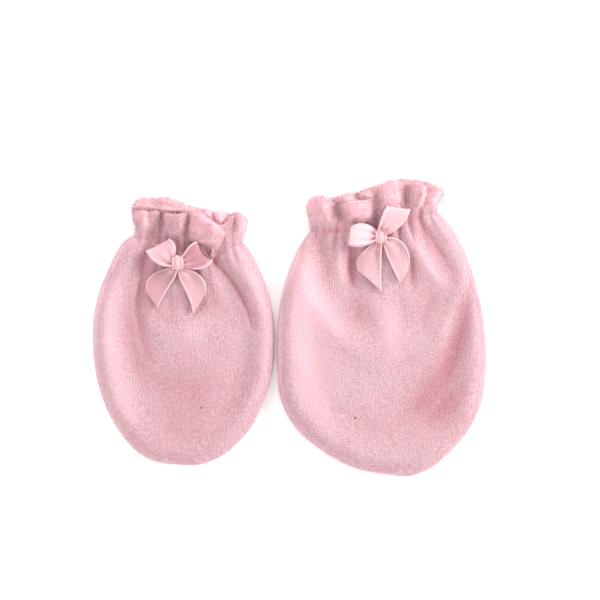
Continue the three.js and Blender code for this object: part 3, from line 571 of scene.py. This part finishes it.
def knit_group():
    """The face of knitted velour: its wales and courses, its nap and its brushed patches."""
    tree = bpy.data.node_groups.new("velour_face", "ShaderNodeTree")
    for name, default in (("Wale mm", WALE_SPACING), ("Nap mm", 0.5), ("Wales", 0.5)):
        socket = tree.interface.new_socket(name=name, in_out="INPUT", socket_type="NodeSocketFloat")
        socket.default_value = default
    for name in ("Shade", "Height", "Patches"):
        tree.interface.new_socket(name=name, in_out="OUTPUT", socket_type="NodeSocketFloat")
    given = tree.nodes.new("NodeGroupInput").outputs
    result = tree.nodes.new("NodeGroupOutput")
    place = place_in_mm(tree)
    x, y, _ = add_node(tree, "ShaderNodeSeparateXYZ", {0: place}).outputs

    drift = clouds(tree, place, scale=0.05, detail=1.0)
    wiggle = clouds(tree, place, scale=0.45, detail=2.0)
    drifted = work_out(tree, "MULTIPLY_ADD", drift, 4.0, x)
    loose = work_out(tree, "MULTIPLY_ADD", wiggle, 1.2, drifted)
    wale = work_out(tree, "DIVIDE", loose, given["Wale mm"])
    wales = work_out(tree, "SINE", work_out(tree, "MULTIPLY", wale, math.tau))
    course = work_out(tree, "DIVIDE", y, given["Wale mm"])
    courses = work_out(tree, "SINE", work_out(tree, "MULTIPLY", course, COURSES_TO_WALE * math.tau))
    stitches = work_out(tree, "MULTIPLY_ADD", courses, 0.4, wales)

    nap_scale = work_out(tree, "DIVIDE", 1.0, given["Nap mm"])
    nap = clouds(tree, place, nap_scale, detail=3.0, roughness=0.65)
    combed = add_node(tree, "ShaderNodeMapping", {"Vector": place, "Scale": (1.0, 0.45, 1.0)}).outputs[0]
    patches = clouds(tree, combed, scale=0.16, detail=3.0, roughness=0.6)

    ribbed = work_out(tree, "MULTIPLY", stitches, given["Wales"])
    faded = work_out(tree, "MULTIPLY", ribbed, patches)
    tree.links.new(work_out(tree, "MULTIPLY_ADD", faded, 0.6, nap), result.inputs["Height"])
    tree.links.new(work_out(tree, "MULTIPLY_ADD", faded, 0.35, nap), result.inputs["Shade"])
    tree.links.new(patches, result.inputs["Patches"])
    return tree


velour_face = knit_group()


def velour_material(name, colour, deep, folded_in, wales, nap, bump, specks=()):
    """Velour in one colour that is deeper between the wales, with a soft sheen from its nap, and with
    painted shade and painted light laid on where its points carry them.
    """
    material, tree, shader = new_material(name, colour, roughness=0.95)
    shader.inputs["Specular IOR Level"].default_value = 0.15
    shader.inputs["Sheen Weight"].default_value = 0.3
    shader.inputs["Sheen Roughness"].default_value = 0.35
    shader.inputs["Sheen Tint"].default_value = (1.0, 0.86, 0.9, 1)
    shader.inputs["Subsurface Weight"].default_value = 0.25
    shader.inputs["Subsurface Radius"].default_value = (1.0, 0.45, 0.5)
    shader.inputs["Subsurface Scale"].default_value = 0.9 * MM
    face = add_node(tree, "ShaderNodeGroup", node_tree=velour_face)
    face.inputs["Wales"].default_value = wales
    face.inputs["Nap mm"].default_value = nap
    fold = fold_of(tree)
    cloth = lay_over(tree, spread(tree, face.outputs["Shade"], 0.36, 0.63), deep, colour)
    brushed = spread(tree, face.outputs["Patches"], 0.3, 0.7, last=0.35)
    cloth = lay_over(tree, brushed, cloth, colour)
    # Painted shade is multiplied in where the kept value is below 0, and painted light is laid on above 0.
    cloth = lay_over(tree, spread(tree, fold, -1.0, 0.0, 0.75, 0.0), cloth, folded_in, "MULTIPLY")
    cloth = lay_over(tree, spread(tree, fold, 0.0, 1.0), cloth, PAINTED_LIGHT_PINK)
    for x, y in specks:
        cloth = add_speck(tree, cloth, x, y)
    tree.links.new(cloth, shader.inputs["Base Color"])
    add_relief(tree, shader, face.outputs["Height"], distance=bump)
    return material


def add_speck(tree, under, x, y):
    """A dark red speck of lint caught in the cloth, half a millimetre in radius."""
    place = add_node(tree, "ShaderNodeTexCoord").outputs["Object"]
    flat = add_node(tree, "ShaderNodeVectorMath", {0: place, 1: (1, 1, 0)}, operation="MULTIPLY")
    ends = {0: flat.outputs[0], 1: (x * MM, y * MM, 0)}
    away = add_node(tree, "ShaderNodeVectorMath", ends, operation="DISTANCE").outputs[1]
    return lay_over(tree, spread(tree, away, 0.28 * MM, 0.55 * MM, 1.0, 0.0), under, SPECK_RED)


SPECKS = {"left": (6.9, 22.3), "right": (-10.0, 22.6)}
speck_places = [(MITTENS[name][0] + x, MITTENS[name][1] + y) for name, (x, y) in SPECKS.items()]
velour = velour_material(
    "velour", PINK, DEEP_PINK, PAINTED_SHADE_PINK, wales=0.44, nap=0.75, bump=0.3, specks=speck_places
)

fronts = {}
for mitten in MITTENS:
    front = own_copy(f"{mitten}_front", f"{mitten}_front_panel", levels=2)
    shaped, folds = shape_front(mitten, points_of(front))
    put_points(front, shaped)
    keep_folds(front, folds)
    front.data.materials.append(velour)
    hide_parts(f"{mitten}_front")
    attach(front, "root")
    fronts[mitten] = front

# The two backs. Each is an oval of the same velour and the same cut, flat where it lies on the table,
# with its edge turned up to the seam. Its gathers at the elastic are given by how far along it each
# one starts, how far it reaches and how far it leans to the right.
BACK_GATHERS = {
    "left": [
        (0.08, 8, -1.5), (0.2, 12, -2.0), (0.33, 7, -0.5), (0.45, 13, 0.5), (0.6, 9, 1.0),
        (0.74, 12, 2.0), (0.9, 7, 2.0),
    ],
    "right": [
        (0.1, 9, -1.5), (0.22, 7, -1.0), (0.34, 13, -0.5), (0.5, 9, 0.0), (0.63, 14, 1.0),
        (0.77, 8, 1.5), (0.9, 11, 2.5),
    ],
}


def shape_back(name, points):
    wrist = edge_line(f"{name}_frill_back", lowest=True)
    points = draw_in(name, points)
    moved = points.copy()
    tone = np.zeros(len(points))
    above, rise, gather_shade = 2, 0.8, 0.6
    for at, reach, lean in BACK_GATHERS[name]:
        x, y = place_on(wrist, at)
        path = [(x, y + above), (x + lean * 0.3, y - reach * 0.4), (x + lean, y - reach)]
        share = crease_share(points, path, width=1.1)
        moved[:, 2] += rise * share
        # Each gather is given painted shade along it.
        tone -= gather_shade * share
    moved[:, 2] += pinch(points, wrist, depth=-0.5, reach=1.5)
    moved[:, 2] += SEAM_CLOSING * smooth_step(1.7, 2.2, points[:, 2])
    return moved, tone


for mitten in MITTENS:
    back = own_copy(f"{mitten}_back", f"{mitten}_back_panel", levels=2)
    shaped, tone = shape_back(mitten, points_of(back))
    put_points(back, shaped)
    keep_folds(back, tone)
    back.data.materials.append(velour)
    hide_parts(f"{mitten}_back")
    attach(back, "root")

# The frills. The hem of each panel is turned over the elastic, and what stands above it opens into
# waves. Its pile has been rubbed up by the turning, so it is fuzzier than the panels.
# Painted shade for the frills' troughs, and the deeper pink between their wales.
FRILL_PAINTED_SHADE = (0.88, 0.46, 0.555)
FRILL_DEEP = (0.52, 0.275, 0.315)
TUFTS = {"front": 6500, "back": 4500}
TUFT_LENGTH = 1.15
TUFT_WIDTH = 0.26
TUFT_SCATTER = 0.2
TUFT_SUNK = 0.25
TUFT_SEED = 40

# Each wave of a back frill is painted shade where its tone is below 0 and painted light where it is above.
BACK_FRILL_WAVES = {
    "left": [
        Crease([(-18.0, 102.0), (-8.0, 101.2), (2.0, 99.0)], width=3.0, depth=1.4, tone=0.5),
        Crease([(-12.0, 100.4), (-8.0, 100.2), (-3.6, 99.0)], width=1.5, depth=-0.3, tone=-0.95),
        Crease([(-19.0, 99.0), (-8.0, 98.2), (3.0, 96.8)], width=2.2, depth=4.2, tone=0.1),
        Crease([(6.0, 95.6), (12.0, 93.8), (18.0, 92.0)], width=3.2, depth=4.2, tone=0.5),
        Crease([(7.4, 99.6), (9.6, 94.6)], width=2.2, depth=2.6, tone=0.6),
        Crease([(13.6, 98.4), (14.7, 92.6)], width=2.5, depth=3.0, tone=0.7),
        Crease([(11.4, 96.4), (12.0, 92.8)], width=0.7, depth=-1.0, tone=-0.8),
        Crease([(18.0, 98.0), (18.2, 94.0)], width=0.8, depth=-1.0, tone=-0.7),
        Crease([(21.4, 97.6), (21.8, 93.6)], width=1.8, depth=2.0, tone=0.7),
    ],
    "right": [
        Crease([(-26.0, 107.6), (-20.0, 106.6)], width=2.4, depth=0.8, tone=0.4),
        Crease([(-19.0, 105.0), (-10.0, 105.4), (1.0, 108.8)], width=2.6, depth=3.8, tone=0.0),
        Crease([(-13.0, 107.8), (-11.6, 104.0)], width=2.2, depth=1.4, tone=0.5),
        Crease([(-6.0, 109.6), (-5.0, 105.4)], width=2.2, depth=2.2, tone=0.6),
        Crease([(-9.4, 108.4), (-8.4, 104.6)], width=0.8, depth=-1.0, tone=-0.6),
        Crease([(2.0, 113.0), (12.0, 113.6), (20.0, 111.2)], width=2.4, depth=0.8, tone=0.4),
    ],
}

hem_velour = velour_material("hem_velour", PINK, FRILL_DEEP, FRILL_PAINTED_SHADE, wales=0.36, nap=0.7, bump=0.3)


def surface_under(pieces):
    """A function that gives the height of the topmost of the pieces at a place, in millimetres."""
    trees = [BVHTree.FromObject(piece, bpy.context.evaluated_depsgraph_get()) for piece in pieces]
    well_above = 50

    def height(x, y):
        start = Vector((x * MM, y * MM, well_above * MM))
        hits = [tree.ray_cast(start, Vector((0, 0, -1)))[0] for tree in trees]
        tops = [hit.z / MM for hit in hits if hit is not None]
        return max(tops) if tops else None

    return height


def up_the_frill(name, side, points):
    """The Y of the elastic at each point, and how far up the frill it is, from 0 to 1 at the edge."""
    low = np.interp(points[:, 0], *edge_line(f"{name}_frill_{side}", lowest=True))
    high = np.interp(points[:, 0], *edge_line(f"{name}_frill_{side}", lowest=False))
    return low, np.clip((points[:, 1] - low) / (high - low), 0, 1)


def shape_back_frill(name, frill):
    """The back one opens into high waves, with folds that swell its edge."""
    points = draw_in(name, points_of(frill))
    _, up = up_the_frill(name, "back", points)
    rough = ripples(points, size=3.0, height=0.35) * smooth_step(0.1, 0.4, up)
    local = points - np.array([*MITTENS[name], 0])
    height, tone = add_creases(local, BACK_FRILL_WAVES[name], depth_per_tone=2.2)
    tuck, swell = 1.1, 0.9
    moved = points.copy()
    moved[:, 1] -= tuck * (1 - smooth_step(0.0, 0.16, up))
    moved[:, 2] = press(moved[:, 2], height + rough, base=0.2)
    moved[:, 1] += swell * np.clip(tone, -1, 1) * smooth_step(0.5, 1.0, up)
    # Its tone is the painted shade and light of its waves, and it is made paler up towards its free edge.
    return moved, tone + 0.25 * smooth_step(0.25, 0.7, up)


def shape_front_frill(name, frill):
    """The front one's root runs out thin on the panel below the elastic, and its edge is full."""
    points = draw_in(name, points_of(frill))
    low, up = up_the_frill(name, "front", points)
    rough = ripples(points, size=3.0, height=0.35) * smooth_step(0.1, 0.4, up)
    tuck, swell = 2.4, 1.1
    trough_share = 0.65
    moved = points.copy()
    moved[:, 1] -= tuck * (1 - smooth_step(0.0, 0.25, up))
    height, tone = front_folds(name, moved)
    height = np.where(height < 0, trough_share * height, height)
    moved[:, 2] = press(moved[:, 2], height + rough, base=1.6)
    lay_root(moved, normals_of(frill), low, up, surface_under([fronts[name]]))
    moved[:, 1] += swell * np.clip(tone, -1, 1) * smooth_step(0.5, 1.0, up)
    # Its tone is the painted shade and light of the front's folds, and it is made paler up towards its free
    # edge.
    return moved, tone + 0.25 * smooth_step(0.3, 0.75, up)


def lay_root(moved, normals, low, up, panel):
    """The root starts sunk in the panel and thin, and rises and thickens up to where it is free."""
    sunk, rise = 0.5, 0.95
    thickness, thickening = 0.35, 0.9
    free_from = 0.24
    below_elastic = 1.3
    laid = 1 - smooth_step(0.10, 0.34, up)
    for number in np.flatnonzero(laid > 0.01):
        x, y = moved[number, :2]
        top = panel(x, min(y, low[number] - below_elastic))
        if top is None:
            continue
        share = min(up[number] / free_from, 1)
        wanted = top - sunk + rise * share
        if normals[number, 2] < 0:
            wanted -= thickness + thickening * share
        moved[number, 2] += (wanted - moved[number, 2]) * laid[number]


frills = {}
for mitten in MITTENS:
    for side, shape_frill in (("front", shape_front_frill), ("back", shape_back_frill)):
        node = f"{mitten}_frill_{side}"
        frill = own_copy(node, f"{node}_hem", levels=3)
        shaped, folds = shape_frill(mitten, frill)
        put_points(frill, shaped)
        keep_folds(frill, folds)
        frill.data.materials.append(hem_velour)
        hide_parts(node)
        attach(frill, "root")
        frills[mitten, side] = frill


def pile_on(piece, name, count, seed, wrist):
    """Short tufts on a frill, fewer near the elastic, leaning towards its free edge, as one mesh."""
    near_table = 1.5
    outward, edgeward, loose = 0.7, 0.8, 0.35
    random = np.random.default_rng(seed)
    mesh = piece.data
    areas = np.empty(len(mesh.polygons))
    mesh.polygons.foreach_get("area", areas)
    centres = rows_of(mesh.polygons, "center") / MM
    normals = rows_of(mesh.polygons, "normal")
    areas[(normals[:, 2] < 0) & (centres[:, 2] < near_table)] = 0
    areas *= smooth_step(-1.0, 6.0, centres[:, 1] - np.interp(centres[:, 0], *wrist)) + 0.04
    chosen = random.choice(len(areas), count, p=areas / areas.sum())
    scatter = random.normal(0, TUFT_SCATTER, (count, 3))
    roots = centres[chosen] + scatter - normals[chosen] * TUFT_SUNK
    lean = normals[chosen] * outward + np.array([0, edgeward, 0]) + random.normal(0, loose, (count, 3))
    lean /= np.linalg.norm(lean, axis=1)[:, None]
    lengths = TUFT_LENGTH * random.uniform(0.6, 1.3, count)
    across = np.cross(lean, random.normal(0, 1, (count, 3)))
    across /= np.linalg.norm(across, axis=1)[:, None]
    beside = np.cross(lean, across)
    corners = []
    for angle in (0, math.tau / 3, math.tau * 2 / 3):
        corners.append(roots + (across * math.cos(angle) + beside * math.sin(angle)) * TUFT_WIDTH / 2)
    tips = roots + lean * lengths[:, None]
    tips[:, 2] = np.maximum(tips[:, 2], 0.1)
    points = np.stack([*corners, tips], axis=1).reshape(-1, 3)
    tuft_faces = np.array([(0, 1, 3), (1, 2, 3), (2, 0, 3), (2, 1, 0)])
    faces = (np.arange(count)[:, None, None] * 4 + tuft_faces[None]).reshape(-1, 3)
    pile = bpy.data.objects.new(name, bpy.data.meshes.new(name))
    pile.data.from_pydata((points * MM).tolist(), [], faces.tolist())
    bpy.context.scene.collection.objects.link(pile)
    # Each tuft takes the painted shade and light of its face, made paler with painted light and varied at
    # random.
    folds = folds_of_faces(mesh)[chosen] + random.normal(0.35, 0.3, count)
    keep_folds(pile, np.repeat(folds, 4))
    return pile


def folds_of_faces(mesh):
    """The painted shade and light kept at the first corner of each face."""
    kept = np.empty(len(mesh.vertices))
    mesh.attributes["fold"].data.foreach_get("value", kept)
    first = np.empty(len(mesh.polygons), int)
    mesh.polygons.foreach_get("loop_start", first)
    corners = np.empty(len(mesh.loops), int)
    mesh.loops.foreach_get("vertex_index", corners)
    return kept[corners[first]]


for number, ((mitten, side), frill) in enumerate(frills.items()):
    node = f"{mitten}_frill_{side}"
    wrist = edge_line(node, lowest=True)
    pile = pile_on(frill, f"{node}_pile", TUFTS[side], TUFT_SEED + number, wrist)
    pile.data.materials.append(hem_velour)
    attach(pile, "root")

# The bows. Each is tied from one length of satin ribbon about 9 mm wide with a cord woven in along
# both edges: two loops, two tails cut on the slant, and a short piece wrapped round the middle and
# tacked to the front. Places are in millimetres from the middle of the knot.
RIBBON_THICKNESS = 0.35
RIBBON_BRIDGE = 1.6
BARE_HEIGHT = 6.0
CORD_HEIGHT = 0.24
CORDS_AT = (0.04, 0.96)
CORD_SPREAD = 0.035
PICKS = 23
ENDS = 10
TAIL_CELLS = (48, 22)
TAIL_LIFT = 1.15
LOOP_CELLS = (72, 22)
LOOP_LIFT = 0.8
LOOP_LEAN = (0.5, -0.8)
KNOT_SIZE = (2.4, 2.8, 1.9)
KNOT_ROUNDING = 0.62
KNOT_FOLDS = 3.2
KNOT_FOLD_DEPTH = 0.09
SATIN = (0.77, 0.495, 0.53)
SATIN_DEEP = (0.60, 0.32, 0.36)
# Painted shade on the ribbon.
SATIN_PAINTED_SHADE = (0.48, 0.215, 0.255)
# Painted highlight on the ribbon.
SATIN_PAINTED_LIGHT = (0.95, 0.74, 0.78)
CORD_PINK = (0.80, 0.49, 0.545)

# Each loop and tail runs out from the knot between two curves, one for each edge of the ribbon. Its
# cup is how far the middle of a loop's face sinks. Its tone is painted light above 0 and painted
# shade below it, for how the piece faces the lamps.
BOWS = {
    "left": {
        "knot": (-2.0, 77.6),
        "loops": {
            "left": {
                "one": [(-1.6, -1.2), (-6.6, -1.6), (-9.6, 0.2), (-12.2, 4.8)],
                "other": [(-1.4, 2.0), (-0.6, 4.6), (-0.4, 7.6), (-3.2, 9.4)],
                "height": 3.4,
                "tone": -0.05,
                "cup": 0.5,
            },
            "right": {
                "one": [(1.4, 1.8), (3.0, 4.6), (4.6, 7.2), (6.9, 8.4)],
                "other": [(1.8, -1.4), (5.6, -2.6), (10.4, -2.8), (13.0, 1.0)],
                "height": 3.0,
                "tone": -1.0,
                "cup": 1.3,
            },
        },
        "tails": {
            "left": {
                "one": [(-0.2, -2.2), (-0.6, -7.0), (-4.6, -9.0), (-7.8, -17.2)],
                "other": [(-2.0, -1.4), (-7.0, -3.0), (-14.0, -4.0), (-11.8, -11.6)],
                "tone": -0.6,
            },
            "right": {
                "one": [(1.8, -1.8), (7.0, -2.6), (12.0, -6.0), (10.4, -12.2)],
                "other": [(0.0, -2.4), (0.2, -8.0), (4.4, -11.0), (5.9, -19.4)],
                "tone": -0.2,
            },
        },
    },
    "right": {
        "knot": (-0.4, 92.0),
        "loops": {
            "left": {
                "one": [(-1.6, -1.2), (-4.6, -3.8), (-9.0, -4.2), (-12.4, -3.0)],
                "other": [(-1.6, 1.8), (-3.6, 4.6), (-8.0, 5.8), (-11.6, 3.8)],
                "height": 3.6,
                "tone": 0.5,
                "cup": -0.7,
            },
            "right": {
                "one": [(-1.2, 1.8), (-0.6, 5.0), (0.6, 9.0), (2.2, 11.8)],
                "other": [(1.8, 0.4), (5.8, 2.0), (9.6, 5.6), (10.9, 10.4)],
                "height": 3.2,
                "tone": 0.1,
                "cup": 0.4,
            },
        },
        "tails": {
            "left": {
                "one": [(0.4, -2.2), (0.2, -8.0), (0.0, -14.0), (0.3, -21.0)],
                "other": [(-1.8, -1.6), (-6.0, -5.0), (-11.0, -8.0), (-8.4, -13.2)],
                "tone": -0.12,
            },
            "right": {
                "one": [(1.8, -0.6), (8.6, 1.0), (13.4, -7.0), (10.0, -14.0)],
                "other": [(0.8, -2.4), (2.4, -8.0), (4.6, -13.0), (7.4, -17.8)],
                "tone": -0.2,
            },
        },
    },
}


def along_curve(corners, share):
    """Points of a cubic curve between its first and last corner."""
    a, b, c, d = (np.array(corner, float) for corner in corners)
    t = np.asarray(share)[..., None]
    return (1 - t) ** 3 * a + 3 * t * (1 - t) ** 2 * b + 3 * t * t * (1 - t) * c + t**3 * d


def ribbon(name, cells_along, cells_across, surface):
    """A strip of ribbon: a flat grid bent to a surface and thickened."""
    bpy.ops.object.select_all(action="DESELECT")
    bpy.ops.mesh.primitive_grid_add(x_subdivisions=cells_along, y_subdivisions=cells_across, size=1)
    piece = bpy.context.active_object
    piece.name = name
    flat = points_of(piece) * MM + 0.5
    put_points(piece, surface(flat[:, 0], flat[:, 1]))
    apply_modifier(piece, "SOLIDIFY", thickness=RIBBON_THICKNESS * MM, offset=0.0)
    bpy.ops.object.mode_set(mode="EDIT")
    bpy.ops.mesh.select_all(action="SELECT")
    bpy.ops.mesh.normals_make_consistent(inside=False)
    bpy.ops.object.mode_set(mode="OBJECT")
    bpy.ops.object.shade_smooth()
    return piece


def satin_material():
    """Woven satin: crossing threads, a bright soft gloss, pinker cords along both edges, and painted
    shade and painted highlights laid on where the ribbon's points carry them.
    """
    material, tree, shader = new_material("satin_ribbon", SATIN, roughness=0.34)
    shader.inputs["Sheen Weight"].default_value = 0.05
    shader.inputs["Sheen Roughness"].default_value = 0.3
    shader.inputs["Anisotropic"].default_value = 0.4
    strip = add_node(tree, "ShaderNodeUVMap").outputs[0]
    along, across, _ = add_node(tree, "ShaderNodeSeparateXYZ", {0: strip}).outputs
    rows = work_out(tree, "SINE", work_out(tree, "MULTIPLY", along, math.tau * PICKS))
    columns = work_out(tree, "SINE", work_out(tree, "MULTIPLY", across, math.tau * ENDS))
    weave = work_out(tree, "MULTIPLY", rows, columns)
    threads = clouds(tree, place_in_mm(tree), scale=2.4, detail=2.0)
    tone = work_out(tree, "MULTIPLY_ADD", weave, 0.3, threads)
    off_middle = work_out(tree, "ABSOLUTE", work_out(tree, "SUBTRACT", across, 0.5))
    fold = fold_of(tree)
    cloth = lay_over(tree, spread(tree, tone, 0.28, 0.72), SATIN_DEEP, SATIN)
    # Painted shade where the kept value is below 0, and painted highlight above it.
    cloth = lay_over(tree, spread(tree, fold, -1.0, 0.0, 1.0, 0.0), cloth, SATIN_PAINTED_SHADE)
    cloth = lay_over(tree, spread(tree, fold, 0.0, 1.0, last=0.9), cloth, SATIN_PAINTED_LIGHT)
    cloth = lay_over(tree, spread(tree, off_middle, 0.44, 0.46), cloth, CORD_PINK)
    tree.links.new(cloth, shader.inputs["Base Color"])
    add_relief(tree, shader, tone, distance=0.06)
    return material


satin = satin_material()


def bridged(under, x, y):
    """The mean height round a place, as a ribbon bridges small dips in what it lies on."""
    span = RIBBON_BRIDGE
    around = [under(x + dx, y + dy) for dx, dy in ((0, 0), (span, 0), (-span, 0), (0, span), (0, -span))]
    found = [height for height in around if height is not None]
    return sum(found) / len(found) if found else BARE_HEIGHT


def raise_cords(piece):
    """The cords along the two edges stand out of both faces of the ribbon."""
    mesh = piece.data
    layer = mesh.uv_layers.active.data
    across = np.zeros(len(mesh.vertices))
    for loop in mesh.loops:
        across[loop.vertex_index] = layer[loop.index].uv.y
    raised = CORD_HEIGHT * sum(np.exp(-(((across - at) / CORD_SPREAD) ** 2)) for at in CORDS_AT)
    put_points(piece, points_of(piece) + normals_of(piece) * raised[:, None])


def ribbon_shading(piece, tone, knot):
    """Painted shade where the ribbon runs in under the knot, and further out its own tone, painted light
    above 0 and painted shade below it.
    """
    away = np.hypot(*(points_of(piece)[:, :2] - knot).T)
    return tone * smooth_step(2.0, 6.0, away) - 0.7 * (1 - smooth_step(2.0, 5.0, away))


def plan_of(strip, out, across, knot):
    """Where the ribbon is in plan, so far out from the knot and across from one edge."""
    one, other = (along_curve(strip[edge], out) for edge in ("one", "other"))
    return one + (other - one) * across[:, None] + knot


def tail_form(tail, knot, under):
    """A tail lies on the cloth, hollow along its middle, and is pleated where it leaves the knot."""
    def surface(along, across):
        plan = plan_of(tail, along, across, knot)
        cloth = np.array([bridged(under, x, y) for x, y in plan])
        hollow = -0.45 * np.sin(np.pi * across) * np.sin(np.pi * np.clip(along * 0.9 + 0.1, 0, 1))
        wave = 0.25 * np.sin(along * 7.0 + across * 2.0)
        pleats = 0.35 * np.cos(across * math.tau * 1.5 + 0.6) * (1 - smooth_step(0.1, 0.7, along))
        at_knot = 1.0 * (1 - smooth_step(0, 0.3, along))
        return np.column_stack([plan, cloth + TAIL_LIFT + hollow + pleats + wave * along + at_knot])

    return surface


def loop_form(loop, knot, base):
    """A loop runs out low and comes back above itself, cupped, and pleated at the knot."""
    def surface(along, across):
        out = np.sin(np.pi * along)
        level = -np.cos(np.pi * along)
        plan = plan_of(loop, out, across, knot)
        plan = plan + np.outer((1 - level) / 2 * out, np.array(LOOP_LEAN))
        full = np.abs(level) ** 0.8 * np.sign(level) * (0.35 + 1.1 * out**0.8)
        pleats = 0.5 * np.cos(across * math.tau * 2.5) * (1 - out) ** 1.5
        cup = loop["cup"] * np.sin(np.pi * across) * out**2 * np.where(level > 0, 1, -0.5)
        z = base + LOOP_LIFT + loop["height"] / 2 * (1 + full) + pleats - cup
        return np.column_stack([plan, z])

    return surface


def loop_base(loop, knot, under):
    """The highest that the cloth comes under a loop."""
    ends = np.array([along_curve(loop[edge], 1.0) for edge in ("one", "other")])
    places = [knot + ends.mean(0) * 0.6, knot + ends[0] * 0.8, knot + ends[1] * 0.8]
    return max(bridged(under, *place) for place in places)


bows = {"left": [], "right": []}
for mitten, bow in BOWS.items():
    under = surface_under([fronts[mitten], frills[mitten, "front"]])
    knot = np.array(MITTENS[mitten]) + np.array(bow["knot"])

    for side, tail in bow["tails"].items():
        piece = ribbon(f"{mitten}_bow_tail_{side}_ribbon", *TAIL_CELLS, tail_form(tail, knot, under))
        raise_cords(piece)
        keep_folds(piece, ribbon_shading(piece, tail["tone"], knot))
        piece.data.materials.append(satin)
        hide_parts(f"{mitten}_bow_tail_{side}")
        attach(piece, "root")
        bows[mitten].append(piece)

    for side, loop in bow["loops"].items():
        form = loop_form(loop, knot, loop_base(loop, knot, under))
        piece = ribbon(f"{mitten}_bow_loop_{side}_ribbon", *LOOP_CELLS, form)
        raise_cords(piece)
        keep_folds(piece, ribbon_shading(piece, loop["tone"], knot))
        piece.data.materials.append(satin)
        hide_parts(f"{mitten}_bow_loop_{side}")
        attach(piece, "root")
        bows[mitten].append(piece)

    low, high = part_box(f"{mitten}_bow_knot")
    knot_height = (low.z + high.z) / 2 / MM
    bpy.ops.object.select_all(action="DESELECT")
    bpy.ops.mesh.primitive_cube_add(size=1)
    piece = bpy.context.active_object
    piece.name = f"{mitten}_bow_knot_wrap"
    apply_modifier(piece, "SUBSURF", levels=5, render_levels=5)
    ball = points_of(piece) * MM
    ball /= np.abs(ball).max(0)
    squarer = np.sign(ball) * np.abs(ball) ** KNOT_ROUNDING
    turn = ball[:, 0] * math.pi * KNOT_FOLDS + 0.5 + 0.4 * ball[:, 1]
    folds = 1 + KNOT_FOLD_DEPTH * np.cos(turn)
    wrapped = squarer * np.array(KNOT_SIZE) * np.column_stack([np.ones(len(ball)), folds, folds])
    put_points(piece, wrapped + np.array([*knot, knot_height]))
    bpy.ops.object.shade_smooth()
    piece.data.materials.append(satin)
    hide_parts(f"{mitten}_bow_knot")
    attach(piece, "root")
    bows[mitten].append(piece)
